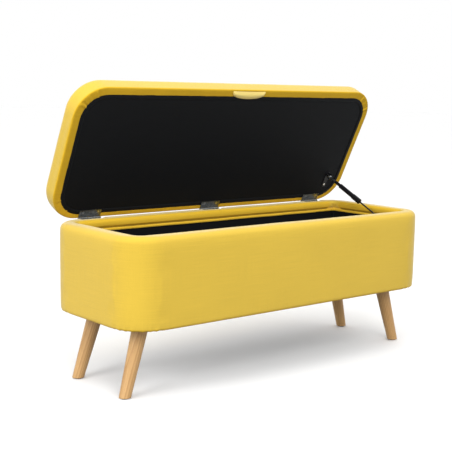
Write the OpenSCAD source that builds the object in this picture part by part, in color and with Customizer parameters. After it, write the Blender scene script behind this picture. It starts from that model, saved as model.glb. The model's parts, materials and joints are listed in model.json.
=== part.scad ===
// Upholstered storage bench: padded box on splayed legs, with a padded lid that
// swings up on three butt hinges and is held open by one telescopic stay.
// X runs along the bench, +Y is the hinge side, Z is up, the floor is Z = 0.

/* [Body] */
// Length of the upholstered box
body_l = 1100; // [900:10:1320]
// Depth of the upholstered box
body_d = 408; // [340:1:490]
// Height of the upholstered box, hem to rim
body_h = 239; // [199:1:290]
// Plan radius of the outer corners
corner_r = 90; // [75:1:108]
// Clearance from the floor to the underside of the box
ground_gap = 185; // [154:1:222]
// Width of the padded rim, outer face to inner band
rim_w = 50; // [46:1:60]
// Radius of the rim's outer crown
crown_r = 17; // [15:1:20]
// Radius where the rim turns down inside
rim_inner_r = 10; // [8:0.5:10]
// Plan radius of the compartment's corners at the band
well_r = 4; // [3:1:6]
// Radius of the hem at the foot of the box
hem_r = 8; // [7:1:10]
// How far the cover turns under the box
turn_under = 42; // [36:1:50]
// Depth of the cover's inner band, below the rim top
band_drop = 26; // [24:1:32]
// Height of the folded welt under the inner band
welt_h = 8; // [6:1:10]
// How far the welt stands proud of the band
welt_proud = 1; // [0.5:0.1:1.5]

/* [Timber] */
// Thickness of the four inner wall boards
wall_t = 12; // [10:1:14]
// Thickness of the rim frame
frame_t = 18; // [15:1:22]
// Thickness of the bottom board
bottom_t = 12; // [10:1:15]
// Thickness of the bent fibreboard skin
skin_t = 3; // [2.5:0.1:4]
// Width of each batten between the walls
batten_w = 40; // [30:1:50]
// Spacing of the battens along the bench
batten_pitch = 300; // [240:1:360]

/* [Padding] */
// Thickness of the cover fabric with its backing
cover_t = 2; // [1.5:0.1:2.5]
// Thickness of the foam wrapped round the box
side_foam_t = 7; // [6:0.5:9]
// Thickness of the foam strip down the inside of the rim
inner_foam_t = 3; // [2:0.5:4]
// Thickness of the black lining cloth
lining_t = 1.5; // [1:0.1:2]
// Thickness of the dust cover under the box
dust_t = 1; // [0.8:0.1:1.5]

/* [Lid] */
// How much shorter the lid is than the box, at each end
lid_end_inset = 1; // [0:0.5:6]
// How far the lid's front edge is set back from the box front
lid_front_inset = 7.5; // [0:0.5:12]
// How far the lid's back edge passes the box back
lid_back_proud = 1; // [0:0.5:2]
// Thickness of the padded lid
lid_t = 62; // [52:1:74]
// Plan radius of the lid's corners
lid_corner_r = 87; // [73:1:104]
// Radius of the lid's top edge
lid_top_r = 25; // [18:1:30]
// Radius of the lid's bottom edge
lid_hem_r = 7; // [6:1:9]
// Gap between the rim and the closed lid
lid_gap = 3; // [2.5:0.1:4]
// Thickness of the lid's plywood panel
lid_board_t = 15; // [12:1:18]
// Foam and cover round the panel's edge
lid_edge_pad = 10; // [8:1:12]
// Width of the cover's border on the underside
lid_border = 22; // [18:1:28]
// Plan radius of the lining's corners on the underside
lining_r = 72; // [60:1:86]
// Angle of the open lid above closed
lid_open = 64; // [50:1:75]

/* [Pull tab] */
// Width of the tab where it is sewn on
tab_w = 122; // [100:1:146]
// Length of the tab from its seam to its free edge
tab_drop = 26; // [22:1:31]
// Thickness of the doubled tab
tab_t = 2; // [1.2:0.1:2.2]
// Plan radius of the tab's free corners
tab_r = 18; // [12:1:20]
// How far the tab's middle is right of the lid's middle
tab_shift = 15; // [-20:1:20]

/* [Hinges] */
// Length of a hinge leaf
leaf_l = 70; // [58:1:84]
// Reach of a hinge leaf from the pin
leaf_w = 24; // [22:1:28]
// Thickness of a hinge leaf
leaf_t = 1.5; // [1.2:0.1:1.8]
// Radius of the hinge pin
pin_r = 2; // [1.6:0.1:2.2]
// Distance between neighbouring hinges
hinge_pitch = 425; // [340:1:460]
// How far the middle hinge is right of the bench's middle
hinge_shift = 5; // [-10:1:10]
// How far the pin is in front of the box back
hinge_inset = 1.15; // [0.8:0.05:1.6]
// Distance of each leaf screw from the leaf's end
leaf_screw_end = 12; // [10:1:15]
// Distance of the leaf screws from the pin
leaf_screw_in = 17; // [16:1:18]

/* [Lid stay] */
// Distance of the stay's plane from the box's right face
stay_inset = 75; // [68:1:82]
// Distance of the upper pivot from the hinge pin, along the lid
stay_top_reach = 94; // [88:1:100]
// How far the upper pivot stands off the lid's underside
stay_top_stand = 11; // [10:1:13]
// Distance of the lower pivot in front of the hinge pin
stay_foot_reach = 312; // [304:1:322]
// Depth of the lower pivot below the folded welt, clear of it while the lid moves
stay_foot_drop = 16; // [15.5:0.5:20]
// Radius of the stay's tube
tube_r = 7.4; // [7:0.1:7.5]
// Wall of the stay's tube
tube_wall = 1.4; // [1.2:0.1:1.6]
// Distance from the upper pivot to the tube's neck
neck_start = 33; // [26:1:38]
// Distance from the upper pivot to the tube's shoulder
tube_start = 55; // [48:1:56]
// Length of the collar on the tube's lower end
collar_l = 34; // [28:1:38]
// Distance from the upper pivot to the collar's lower face
collar_end = 156; // [154:1:160]
// Radius of the collar
collar_r = 8.6; // [8.5:0.1:9]
// Radius of the stay's rod
rod_r = 2.5; // [2:0.1:3]
// Radius of the stay's pivots
pivot_r = 3; // [2.5:0.1:3.2]
// Length of the plate screwed to the lid
stay_plate_l = 56; // [48:1:60]
// Width of the plate screwed to the lid
stay_plate_w = 16; // [14:1:19]
// Thickness of the stay's plates
stay_plate_t = 2; // [1.5:0.1:2.2]

/* [Legs] */
// Distance of a leg's top centre from the box end
leg_end_inset = 92; // [86:1:110]
// Distance of a leg's top centre from the box front or back
leg_side_inset = 98.5; // [88:0.5:110]
// Outward lean of a leg along the bench
leg_lean_x = 16.7; // [13.9:0.1:20]
// Outward lean of a leg across the bench
leg_lean_y = 2.7; // [0:0.1:6]
// Radius of a leg at the box
leg_top_r = 21.5; // [18:0.5:25]
// Radius of a leg at the foot
leg_foot_r = 15.5; // [13:0.5:18]
// Thickness of the glide under each leg
glide_t = 3; // [2:0.5:4]
// Radius of the glide
glide_r = 11; // [9:0.5:12]
// Side of the square leg plate
leg_plate_w = 64; // [56:1:70]
// Thickness of the leg plate
leg_plate_t = 2.5; // [2:0.1:3]
// Radius of the hanger bolt
bolt_r = 4; // [3:0.5:5]

/* [Hidden] */

$fn = 64;

// Clearances: pin in its knuckle, screw in its hole, and between neighbours
pin_clear = 0.05;
screw_clear = 0.02;
gap = 0.4;

// Cuts run past the face that they open by this much
past = 1;
over_cut = 20;

// Wood screws, shared by every fitting
screw_r = 2;
screw_head_r = 3.6;
screw_head_h = 1.8;
screw_tip = 3;
screw_l = 14;
frame_screw_l = 28;
plate_screw_l = 12;
wall_screw_l = 13;
recess_l = 3.2;
recess_w = 0.8;
recess_d = 1;

// Heights
hem_z = ground_gap;
rim_z = hem_z + body_h;
floor_z = hem_z + cover_t;
deck_z = floor_z + bottom_t;

// Hinge axis: the body leaf lies on the rim frame, the lid leaf on the lid's underside
knuckle_r = pin_r + leaf_t;
hinge_y = body_d / 2 - hinge_inset;
hinge_z = rim_z + lid_gap - knuckle_r;
frame_z = hinge_z - knuckle_r;
rim_foam_t = rim_z - cover_t - frame_z;
hinge_xs = [hinge_shift - hinge_pitch, hinge_shift, hinge_shift + hinge_pitch];
leaf_screw_xs = [leaf_screw_end - leaf_l / 2, leaf_l / 2 - leaf_screw_end];

// Layers of the side, as distances in from the outer face
skin_in = cover_t + side_foam_t;
timber_in = skin_in + skin_t;
well_in = rim_w - cover_t - inner_foam_t;
wall_in = well_in - wall_t;
well_x = body_l / 2 - well_in;
well_y = body_d / 2 - well_in;
wall_top = frame_z - frame_t;
skin_drop = 3;
skin_top = frame_z - skin_drop;

// Lid, drawn closed
lid_x = body_l / 2 - lid_end_inset;
lid_back = body_d / 2 + lid_back_proud;
lid_front = lid_front_inset - body_d / 2;
lid_y = (lid_back - lid_front) / 2;
lid_mid = (lid_back + lid_front) / 2;
lid_z = rim_z + lid_gap;
panel_z = lid_z + cover_t;
lid_foam_z = panel_z + lid_board_t;

// The open lid's back edge and the box front are the two ends of the bench's depth
open_back = hinge_y + (lid_back - lid_top_r - hinge_y) * cos(lid_open)
          + (lid_z + lid_t - lid_top_r - hinge_z) * sin(lid_open) + lid_top_r;
middle_y = (open_back - body_d / 2) / 2;

// Lid stay: pivots of the closed lid, of the open lid and of the wall plate
stay_x = body_l / 2 - stay_inset;
eye_w = 8;
eye_r = 6.5;
top_pivot = [hinge_y - stay_top_reach, lid_z - stay_top_stand];
arm_y = top_pivot[0] - hinge_y;
arm_z = top_pivot[1] - hinge_z;
open_pivot = [hinge_y + arm_y * cos(lid_open) + arm_z * sin(lid_open),
              hinge_z - arm_y * sin(lid_open) + arm_z * cos(lid_open)];
foot_pivot = [hinge_y - stay_foot_reach, rim_z - band_drop - welt_h - stay_foot_drop];
stay_dy = foot_pivot[0] - open_pivot[0];
stay_dz = foot_pivot[1] - open_pivot[1];
stay_l = sqrt(stay_dy * stay_dy + stay_dz * stay_dz);
stay_turn = atan2(-stay_dy, stay_dz);
bore_r = tube_r - tube_wall;
neck_r = 5.2;
eye_neck_r = eye_w / 2 - 0.1;
shoulder_l = 3;
seal_l = 8;
piston_l = 8;
cap_t = 4;
collar_ease = 1;
seal_space = 3;
rod_top = collar_end - cap_t - seal_l - seal_space;
rod_in = 0.8;
stud_r = 5;
stud_rim = 2;
stud_w = eye_w - 2;
flange_t = 1.4;
flange_over = 1.6;
plate_corner_r = 5;
lid_plate_shift = 15;
lid_screw_in = 9;
ear_r = 8;
ear_x = stay_x + eye_w / 2 + past;
wall_plate_l = 52;
wall_plate_h = 12;
wall_plate_x = well_x - lining_t - stay_plate_t;
wall_screw_dy = 18;

// Legs
leg_x = body_l / 2 - leg_end_inset;
leg_y = body_d / 2 - leg_side_inset;
leg_top_z = floor_z - leg_plate_t;
leg_lean = atan(sqrt(tan(leg_lean_x) * tan(leg_lean_x) + tan(leg_lean_y) * tan(leg_lean_y)));
leg_heading = atan2(tan(leg_lean_y), tan(leg_lean_x));
leg_len = (leg_top_z - glide_t) / cos(leg_lean);
leg_taper = (leg_top_r - leg_foot_r) / leg_len;
foot_x = leg_x + (leg_top_z - glide_t) * tan(leg_lean_x);
foot_y = leg_y + (leg_top_z - glide_t) * tan(leg_lean_y);
plate_screw_d = leg_plate_w / 2 - 8;
glide_ease = 1;
nail_l = 10;
nail_r = 1;
boss_r = 7;
boss_rise = 7;
bolt_down = 34;

// Rim frame screws: along the front and back, and at the ends
frame_screw_in = well_in - wall_t / 2;
frame_screw_end = 60;
frame_screw_xs = [for (i = [-1:1]) i * (well_x - frame_screw_end)];

// ---------------------------------------------------------------- helpers

// Sweeps a section round a rounded rectangle. The section's x is measured out
// from the corner centre, so x = r lies on the rectangle hx by hy.
module sweep_round(hx, hy, r) {
    cx = hx - r;
    cy = hy - r;
    for (m = [0, 1]) mirror([m, 0, 0]) for (n = [0, 1]) mirror([0, n, 0])
        translate([cx, cy, 0]) rotate_extrude(angle = 90) children();
    for (n = [0, 1]) mirror([0, n, 0])
        translate([-cx, cy, 0]) rotate([90, 0, 90]) linear_extrude(2 * cx) children();
    for (m = [0, 1]) mirror([m, 0, 0])
        translate([cx, cy, 0]) rotate([90, 0, 0]) linear_extrude(2 * cy) children();
}

// Section of a block's edge, with the top corner and the bottom corner rounded
module edge_section(r, h, top_r, foot_r) {
    difference() {
        square([r, h]);
        translate([r - top_r, h - top_r]) difference() {
            square(top_r + 1);
            circle(top_r);
        }
        translate([r - foot_r, foot_r]) mirror([0, 1]) difference() {
            square(foot_r + 1);
            circle(foot_r);
        }
    }
}

// Block with rounded plan corners and rounded top and bottom edges
module soft_block(hx, hy, r, h, top_r, foot_r) {
    sweep_round(hx, hy, r) edge_section(r, h, top_r, foot_r);
    translate([r - hx, r - hy, 0]) cube([2 * (hx - r), 2 * (hy - r), h]);
}

// Flat plate with rounded plan corners
module round_plate(hx, hy, r, h) {
    translate([r - hx, -hy, 0]) cube([2 * (hx - r), 2 * hy, h]);
    translate([-hx, r - hy, 0]) cube([2 * hx, 2 * (hy - r), h]);
    for (sx = [-1, 1]) for (sy = [-1, 1])
        translate([sx * (hx - r), sy * (hy - r), 0]) cylinder(h = h, r = r);
}

// Countersunk wood screw, head face at the origin, driven towards -Z
module screw(length) {
    difference() {
        union() {
            translate([0, 0, -screw_head_h])
                cylinder(h = screw_head_h, r1 = screw_r, r2 = screw_head_r, $fn = 32);
            translate([0, 0, screw_tip - length])
                cylinder(h = length - screw_tip - screw_head_h, r = screw_r, $fn = 32);
            translate([0, 0, -length]) cylinder(h = screw_tip, r1 = 0.5, r2 = screw_r, $fn = 32);
        }
        for (a = [0, 90]) rotate([0, 0, a])
            translate([-recess_l / 2, -recess_w / 2, -recess_d]) cube([recess_l, recess_w, 2]);
    }
}

// Clearance hole for that screw, countersunk at the head
module screw_hole(length) {
    head_r = screw_head_r + screw_clear;
    hole_r = screw_r + screw_clear;
    cylinder(h = 1, r = head_r, $fn = 32);
    translate([0, 0, -screw_head_h]) cylinder(h = screw_head_h, r1 = hole_r, r2 = head_r, $fn = 32);
    translate([0, 0, -length - 0.5]) cylinder(h = length + 0.5, r = hole_r, $fn = 32);
}

// Whole bench, moved so that the open bench is centred on the origin
module bench() {
    translate([0, -middle_y, 0]) children();
}

// Lid pieces are drawn closed and swung open about the hinge axis
module lid() {
    bench() translate([0, hinge_y, hinge_z]) rotate([-lid_open, 0, 0])
        translate([0, -hinge_y, -hinge_z]) children();
}

// Stay pieces are drawn along +Z from the upper pivot
module stay() {
    bench() translate([stay_x, open_pivot[0], open_pivot[1]]) rotate([stay_turn, 0, 0]) children();
}

// ---------------------------------------------------------------- box

module bottom_board() {
    color("#c9a877") bench() difference() {
        translate([0, 0, floor_z]) timber_plate(bottom_t);
        each_leg() leg_axis() translate([0, 0, -20]) cylinder(h = 60, r = boss_r + 1);
        each_leg() leg_plate_screw_places() screw_hole(plate_screw_l);
    }
}

// Plan of all the timber, inside the skin, as a plate of the given height
module timber_plate(h) {
    round_plate(body_l / 2 - timber_in, body_d / 2 - timber_in, corner_r - timber_in, h);
}

// Front and back walls run the full length, with their ends eased to the skin's bend;
// the end walls fit between them
module long_wall() {
    h = wall_top - deck_z;
    difference() {
        intersection() {
            translate([-well_x - wall_t, well_y, deck_z]) cube([2 * (well_x + wall_t), wall_t, h]);
            translate([0, 0, deck_z]) timber_plate(h);
        }
        rim_frame_screw_places() screw_hole(frame_screw_l);
    }
}

module end_wall() {
    difference() {
        translate([well_x, -well_y, deck_z]) cube([wall_t, 2 * well_y, wall_top - deck_z]);
        rim_frame_screw_places() screw_hole(frame_screw_l);
    }
}

module back_wall() {
    color("#c9a877") bench() long_wall();
}

module front_wall() {
    color("#c9a877") bench() mirror([0, 1, 0]) long_wall();
}

module right_wall() {
    color("#c9a877") bench() difference() {
        end_wall();
        stay_wall_screw_places() screw_hole(wall_screw_l);
    }
}

module left_wall() {
    color("#c9a877") bench() mirror([1, 0, 0]) end_wall();
}

// Battens hold the fibreboard skin off the walls
module wall_battens() {
    depth = wall_in - timber_in;
    color("#d8bd8c") bench() for (n = [0, 1]) mirror([0, n, 0]) {
        for (i = [-1:1])
            translate([i * batten_pitch - batten_w / 2, body_d / 2 - wall_in, deck_z])
                cube([batten_w, depth, wall_top - deck_z]);
        mirror([n, 0, 0])
            translate([body_l / 2 - wall_in, -batten_w / 2, deck_z])
                cube([depth, batten_w, wall_top - deck_z]);
    }
}

module rim_frame() {
    color("#c9a877") bench() difference() {
        translate([0, 0, wall_top]) timber_plate(frame_t);
        translate([-well_x, -well_y, wall_top - 1]) cube([2 * well_x, 2 * well_y, frame_t + 2]);
        rim_frame_screw_places() screw_hole(frame_screw_l);
        hinge_body_screw_places() screw_hole(screw_l);
    }
}

module rim_frame_screw_places() {
    for (x = frame_screw_xs) for (s = [-1, 1])
        translate([x, s * (body_d / 2 - frame_screw_in), frame_z]) children();
    for (s = [-1, 1]) translate([s * (body_l / 2 - frame_screw_in), 0, frame_z]) children();
}

module rim_frame_screws() {
    color("#b9b9b5") bench() rim_frame_screw_places() screw(frame_screw_l);
}

module fibreboard_skin() {
    color("#8a6a45") bench() sweep_round(body_l / 2, body_d / 2, corner_r)
        translate([corner_r - timber_in, floor_z]) square([skin_t, skin_top - floor_z]);
}

// Butt joints between the four strips of a foam wrap, at the middle of each corner
module foam_joints() {
    for (m = [0, 1]) mirror([m, 0, 0]) for (n = [0, 1]) mirror([0, n, 0])
        translate([body_l / 2 - corner_r, body_d / 2 - corner_r, hem_z]) rotate([0, 0, 45])
            translate([0, -gap / 2, 0]) cube([corner_r, gap, body_h]);
}

// Foam wrap outside the skin, rounded over the top of the rim
module side_foam() {
    foot = floor_z + hem_r - cover_t;
    shoulder = rim_z - crown_r;
    color("#efe6c4") bench() difference() {
        sweep_round(body_l / 2, body_d / 2, corner_r) {
            translate([corner_r - skin_in, foot]) square([side_foam_t, shoulder - foot]);
            translate([corner_r - crown_r, shoulder]) difference() {
                intersection() {
                    circle(crown_r - cover_t);
                    square(crown_r);
                }
                translate([-past, -past])
                    square([crown_r - timber_in + past, frame_z - shoulder + past]);
                translate([-past, -past])
                    square([crown_r - skin_in + past, skin_top - shoulder + past]);
            }
        }
        hinge_pockets();
        foam_joints();
    }
}

// Foam on the rim frame's top and down its inner side, cut away under the hinge leaves
module rim_foam() {
    inner_r = rim_inner_r - cover_t;
    inner_x = body_l / 2 - rim_w;
    inner_y = body_d / 2 - rim_w;
    color("#efe6c4") bench() difference() {
        union() {
            translate([0, 0, frame_z]) difference() {
                round_plate(body_l / 2 - crown_r, body_d / 2 - crown_r, corner_r - crown_r, rim_foam_t);
                translate([0, 0, -1]) round_plate(inner_x + rim_inner_r, inner_y + rim_inner_r,
                                                  well_r + rim_inner_r, rim_foam_t + 2);
            }
            difference() {
                sweep_round(inner_x, inner_y, well_r) {
                    translate([well_r + cover_t, rim_z - band_drop])
                        square([inner_foam_t, band_drop - rim_inner_r]);
                    translate([well_r + rim_inner_r, rim_z - rim_inner_r]) intersection() {
                        circle(inner_r);
                        translate([-inner_r, 0]) square(inner_r);
                    }
                }
                translate([0, 0, frame_z - band_drop]) difference() {
                    translate([-body_l, -body_d, 0]) cube([2 * body_l, 2 * body_d, band_drop]);
                    translate([-well_x, -well_y, -past])
                        cube([2 * well_x, 2 * well_y, band_drop + 2 * past]);
                }
            }
        }
        hinge_pockets();
        foam_joints();
    }
}

// Cover: sides and crown, flat of the rim, inner band and the hem turned underneath
module body_cover() {
    inner_x = body_l / 2 - rim_w;
    inner_y = body_d / 2 - rim_w;
    shoulder = rim_z - crown_r;
    color("#e2bd4b") bench() difference() {
        union() {
            sweep_round(body_l / 2, body_d / 2, corner_r) {
                translate([corner_r - cover_t, hem_z + hem_r]) square([cover_t, shoulder - hem_z - hem_r]);
                translate([corner_r - crown_r, shoulder]) quarter_ring(crown_r);
                translate([corner_r - hem_r, hem_z + hem_r]) mirror([0, 1]) quarter_ring(hem_r);
                translate([corner_r - turn_under, hem_z]) square([turn_under - hem_r, cover_t]);
            }
            translate([0, 0, rim_z - cover_t]) difference() {
                round_plate(body_l / 2 - crown_r, body_d / 2 - crown_r, corner_r - crown_r, cover_t);
                translate([0, 0, -1]) round_plate(inner_x + rim_inner_r, inner_y + rim_inner_r,
                                                  well_r + rim_inner_r, cover_t + 2);
            }
            sweep_round(inner_x, inner_y, well_r) {
                translate([well_r, rim_z - band_drop]) square([cover_t, band_drop - rim_inner_r]);
                translate([well_r + rim_inner_r, rim_z - rim_inner_r]) mirror([1, 0])
                    quarter_ring(rim_inner_r);
            }
        }
        hinge_pockets();
    }
}

module quarter_ring(r) {
    intersection() {
        difference() {
            circle(r);
            circle(r - cover_t);
        }
        square(r);
    }
}

// Openings in the padding where the body leaves lie on the rim frame
module hinge_pockets() {
    for (x = hinge_xs)
        translate([x - leaf_l / 2 - gap, hinge_y - leaf_w - gap, frame_z])
            cube([leaf_l + 2 * gap, leaf_w + 10, knuckle_r * 2 + 5]);
}

module rim_welt() {
    x = body_l / 2 - rim_w;
    y = body_d / 2 - rim_w;
    color("#cfa43a") bench() sweep_round(x, y, well_r)
        translate([well_r - welt_proud, rim_z - band_drop - welt_h])
            square([rim_w - well_in + welt_proud, welt_h]);
}

module wall_lining() {
    top = rim_z - band_drop - welt_h;
    color("#151517") bench() difference() {
        translate([-well_x, -well_y, deck_z]) cube([2 * well_x, 2 * well_y, top - deck_z]);
        translate([lining_t - well_x, lining_t - well_y, deck_z - 1])
            cube([2 * (well_x - lining_t), 2 * (well_y - lining_t), top - deck_z + 2]);
        stay_wall_screw_places() screw_hole(wall_screw_l);
    }
}

module floor_lining() {
    color("#151517") bench() translate([lining_t - well_x, lining_t - well_y, deck_z])
        cube([2 * (well_x - lining_t), 2 * (well_y - lining_t), lining_t]);
}

module dust_cover() {
    hx = body_l / 2 - turn_under - gap;
    hy = body_d / 2 - turn_under - gap;
    hole = leg_plate_w / 2 + gap;
    color("#1b1b1d") bench() difference() {
        translate([0, 0, floor_z - dust_t]) round_plate(hx, hy, corner_r - turn_under, dust_t);
        each_leg() translate([leg_x - hole, leg_y - hole, floor_z - dust_t - 1])
            cube([2 * hole, 2 * hole, dust_t + 2]);
    }
}

// ---------------------------------------------------------------- legs

module each_leg() {
    for (m = [0, 1]) mirror([m, 0, 0]) for (n = [0, 1]) mirror([0, n, 0]) children();
}

// Leg axis at the rear right corner, +Z up along the leg, origin at its top
module leg_axis() {
    translate([leg_x, leg_y, leg_top_z]) rotate([0, 0, leg_heading]) rotate([0, -leg_lean, 0]) children();
}

module one_leg() {
    difference() {
        intersection() {
            leg_axis() translate([0, 0, -leg_len - over_cut])
                cylinder(h = leg_len + 2 * over_cut, r1 = leg_foot_r - over_cut * leg_taper,
                         r2 = leg_top_r + over_cut * leg_taper, $fn = 96);
            translate([leg_x - body_d / 2, leg_y - body_d / 2, glide_t])
                cube([body_d, body_d, leg_top_z - glide_t]);
        }
        leg_axis() translate([0, 0, -bolt_down - past])
            cylinder(h = bolt_down + over_cut, r = bolt_r + pin_clear, $fn = 32);
        translate([foot_x, foot_y, glide_t - past])
            cylinder(h = nail_l + 3 * past, r = nail_r + screw_clear, $fn = 32);
    }
}

module leg_rear_right() {
    color("#dcb27c") bench() one_leg();
}

module leg_rear_left() {
    color("#dcb27c") bench() mirror([1, 0, 0]) one_leg();
}

module leg_front_right() {
    color("#dcb27c") bench() mirror([0, 1, 0]) one_leg();
}

module leg_front_left() {
    color("#dcb27c") bench() mirror([1, 0, 0]) mirror([0, 1, 0]) one_leg();
}

// Plate with a slanted threaded boss that reaches into the bottom board
module one_leg_plate() {
    half = leg_plate_w / 2;
    difference() {
        union() {
            translate([leg_x, leg_y, leg_top_z]) round_plate(half, half, plate_corner_r, leg_plate_t);
            intersection() {
                leg_axis() translate([0, 0, -over_cut]) cylinder(h = 2 * over_cut, r = boss_r);
                translate([leg_x - half, leg_y - half, leg_top_z])
                    cube([2 * half, 2 * half, leg_plate_t + boss_rise]);
            }
        }
        leg_axis() translate([0, 0, -over_cut])
            cylinder(h = 2 * over_cut, r = bolt_r + pin_clear, $fn = 32);
        leg_plate_screw_places() screw_hole(plate_screw_l);
    }
}

module leg_plate_screw_places() {
    for (sx = [-1, 1]) for (sy = [-1, 1])
        translate([leg_x + sx * plate_screw_d, leg_y + sy * plate_screw_d, leg_top_z])
            rotate([180, 0, 0]) children();
}

module leg_plate_rear_right() {
    color("#c4c4c0") bench() one_leg_plate();
}

module leg_plate_rear_left() {
    color("#c4c4c0") bench() mirror([1, 0, 0]) one_leg_plate();
}

module leg_plate_front_right() {
    color("#c4c4c0") bench() mirror([0, 1, 0]) one_leg_plate();
}

module leg_plate_front_left() {
    color("#c4c4c0") bench() mirror([1, 0, 0]) mirror([0, 1, 0]) one_leg_plate();
}

module leg_plate_screws() {
    color("#b9b9b5") bench() each_leg() leg_plate_screw_places() screw(plate_screw_l);
}

module hanger_bolts() {
    color("#a9a9a6") bench() each_leg() leg_axis() translate([0, 0, -bolt_down])
        cylinder(h = bolt_down + leg_plate_t + boss_rise - 1, r = bolt_r, $fn = 32);
}

// Nail-on glide under each leg
module leg_glides() {
    color("#2b2622") bench() each_leg() translate([foot_x, foot_y, 0]) {
        cylinder(h = glide_ease, r1 = glide_r - glide_ease, r2 = glide_r);
        translate([0, 0, glide_ease]) cylinder(h = glide_t - glide_ease, r = glide_r);
        translate([0, 0, glide_t]) cylinder(h = nail_l, r = nail_r, $fn = 32);
    }
}

// ---------------------------------------------------------------- hinges

// One leaf centred on the hinge axis, lying above it, with its share of the knuckles
module leaf(first) {
    step = leaf_l / 5;
    difference() {
        union() {
            translate([-leaf_l / 2, -leaf_w, pin_r])
                cube([leaf_l, leaf_w - knuckle_r - gap, leaf_t]);
            for (i = [first:2:4]) translate([i * step - leaf_l / 2 + gap / 2, 0, 0]) {
                rotate([0, 90, 0]) cylinder(h = step - gap, r = knuckle_r);
                translate([0, -knuckle_r - gap - 1, pin_r])
                    cube([step - gap, knuckle_r + gap + 1, leaf_t]);
            }
        }
        translate([-leaf_l / 2 - 1, 0, 0]) rotate([0, 90, 0])
            cylinder(h = leaf_l + 2, r = pin_r + pin_clear);
        for (x = leaf_screw_xs) translate([x, -leaf_screw_in, pin_r]) rotate([180, 0, 0])
            screw_hole(screw_l);
    }
}

module body_leaf(i) {
    color("#b4b4b2") bench() translate([hinge_xs[i], hinge_y, hinge_z]) mirror([0, 0, 1]) leaf(0);
}

module lid_leaf(i) {
    color("#b4b4b2") lid() translate([hinge_xs[i], hinge_y, hinge_z]) leaf(1);
}

// Pin with a peened head at each end, outside the knuckles
module hinge_pin(i) {
    head_t = 1.2;
    head_r = pin_r + 0.7;
    color("#9c9c9a") bench() translate([hinge_xs[i] - leaf_l / 2 - head_t, hinge_y, hinge_z])
        rotate([0, 90, 0]) {
            cylinder(h = head_t, r = head_r);
            translate([0, 0, head_t]) cylinder(h = leaf_l, r = pin_r);
            translate([0, 0, leaf_l + head_t]) cylinder(h = head_t, r = head_r);
        }
}

module hinge_left_body_leaf() {
    body_leaf(0);
}

module hinge_middle_body_leaf() {
    body_leaf(1);
}

module hinge_right_body_leaf() {
    body_leaf(2);
}

module hinge_left_lid_leaf() {
    lid_leaf(0);
}

module hinge_middle_lid_leaf() {
    lid_leaf(1);
}

module hinge_right_lid_leaf() {
    lid_leaf(2);
}

module hinge_left_pin() {
    hinge_pin(0);
}

module hinge_middle_pin() {
    hinge_pin(1);
}

module hinge_right_pin() {
    hinge_pin(2);
}

module hinge_body_screw_places() {
    for (h = hinge_xs) for (x = leaf_screw_xs)
        translate([h + x, hinge_y - leaf_screw_in, hinge_z - pin_r]) children();
}

module hinge_lid_screw_places() {
    for (h = hinge_xs) for (x = leaf_screw_xs)
        translate([h + x, hinge_y - leaf_screw_in, hinge_z + pin_r]) rotate([180, 0, 0]) children();
}

module hinge_body_screws() {
    color("#b9b9b5") bench() hinge_body_screw_places() screw(screw_l);
}

module hinge_lid_screws() {
    color("#b9b9b5") lid() hinge_lid_screw_places() screw(screw_l);
}

// ---------------------------------------------------------------- lid

module lid_panel() {
    color("#c9a877") lid() difference() {
        translate([0, lid_mid, panel_z]) round_plate(lid_x - lid_edge_pad, lid_y - lid_edge_pad,
                                                     lid_corner_r - lid_edge_pad, lid_board_t);
        hinge_lid_screw_places() screw_hole(screw_l);
        stay_lid_screw_places() screw_hole(screw_l);
    }
}

// Seat foam, with a lip that wraps the panel's edge
module lid_foam() {
    color("#efe6c4") lid() difference() {
        translate([0, lid_mid, panel_z]) soft_block(lid_x - cover_t, lid_y - cover_t,
            lid_corner_r - cover_t, lid_t - 2 * cover_t, lid_top_r - cover_t, lid_hem_r - cover_t);
        translate([0, lid_mid, panel_z - 1]) round_plate(lid_x - lid_edge_pad, lid_y - lid_edge_pad,
            lid_corner_r - lid_edge_pad, lid_board_t + 1);
    }
}

// Cover over the lid, turned under to a border round the lining
module lid_cover() {
    color("#efd069") lid() difference() {
        translate([0, lid_mid, lid_z]) soft_block(lid_x, lid_y, lid_corner_r, lid_t, lid_top_r, lid_hem_r);
        translate([0, lid_mid, panel_z]) soft_block(lid_x - cover_t, lid_y - cover_t,
            lid_corner_r - cover_t, lid_t - 2 * cover_t, lid_top_r - cover_t, lid_hem_r - cover_t);
        translate([0, lid_mid, lid_z - 1]) round_plate(lid_x - lid_border, lid_y - lid_border,
            lining_r + gap, cover_t + 2);
        hinge_lid_screw_places() screw_hole(screw_l);
    }
}

module lid_lining() {
    inset = lid_border + gap;
    color("#151517") lid() difference() {
        translate([0, lid_mid, panel_z - lining_t]) round_plate(lid_x - inset, lid_y - inset,
            lining_r, lining_t);
        hinge_lid_screw_places() screw_hole(screw_l);
        stay_lid_screw_places() screw_hole(screw_l);
    }
}

// Doubled fabric tab sewn under the lid's front edge
module pull_tab() {
    seam = lid_front + lid_hem_r;
    color("#f3d873") lid() translate([tab_shift, seam, lid_z - tab_t]) intersection() {
        translate([0, tab_drop - 2 * tab_r, 0]) round_plate(tab_w / 2, 2 * tab_r, tab_r, tab_t);
        translate([-tab_w, 0, -1]) cube([2 * tab_w, tab_drop, tab_t + 2]);
    }
}

// ---------------------------------------------------------------- lid stay

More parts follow.
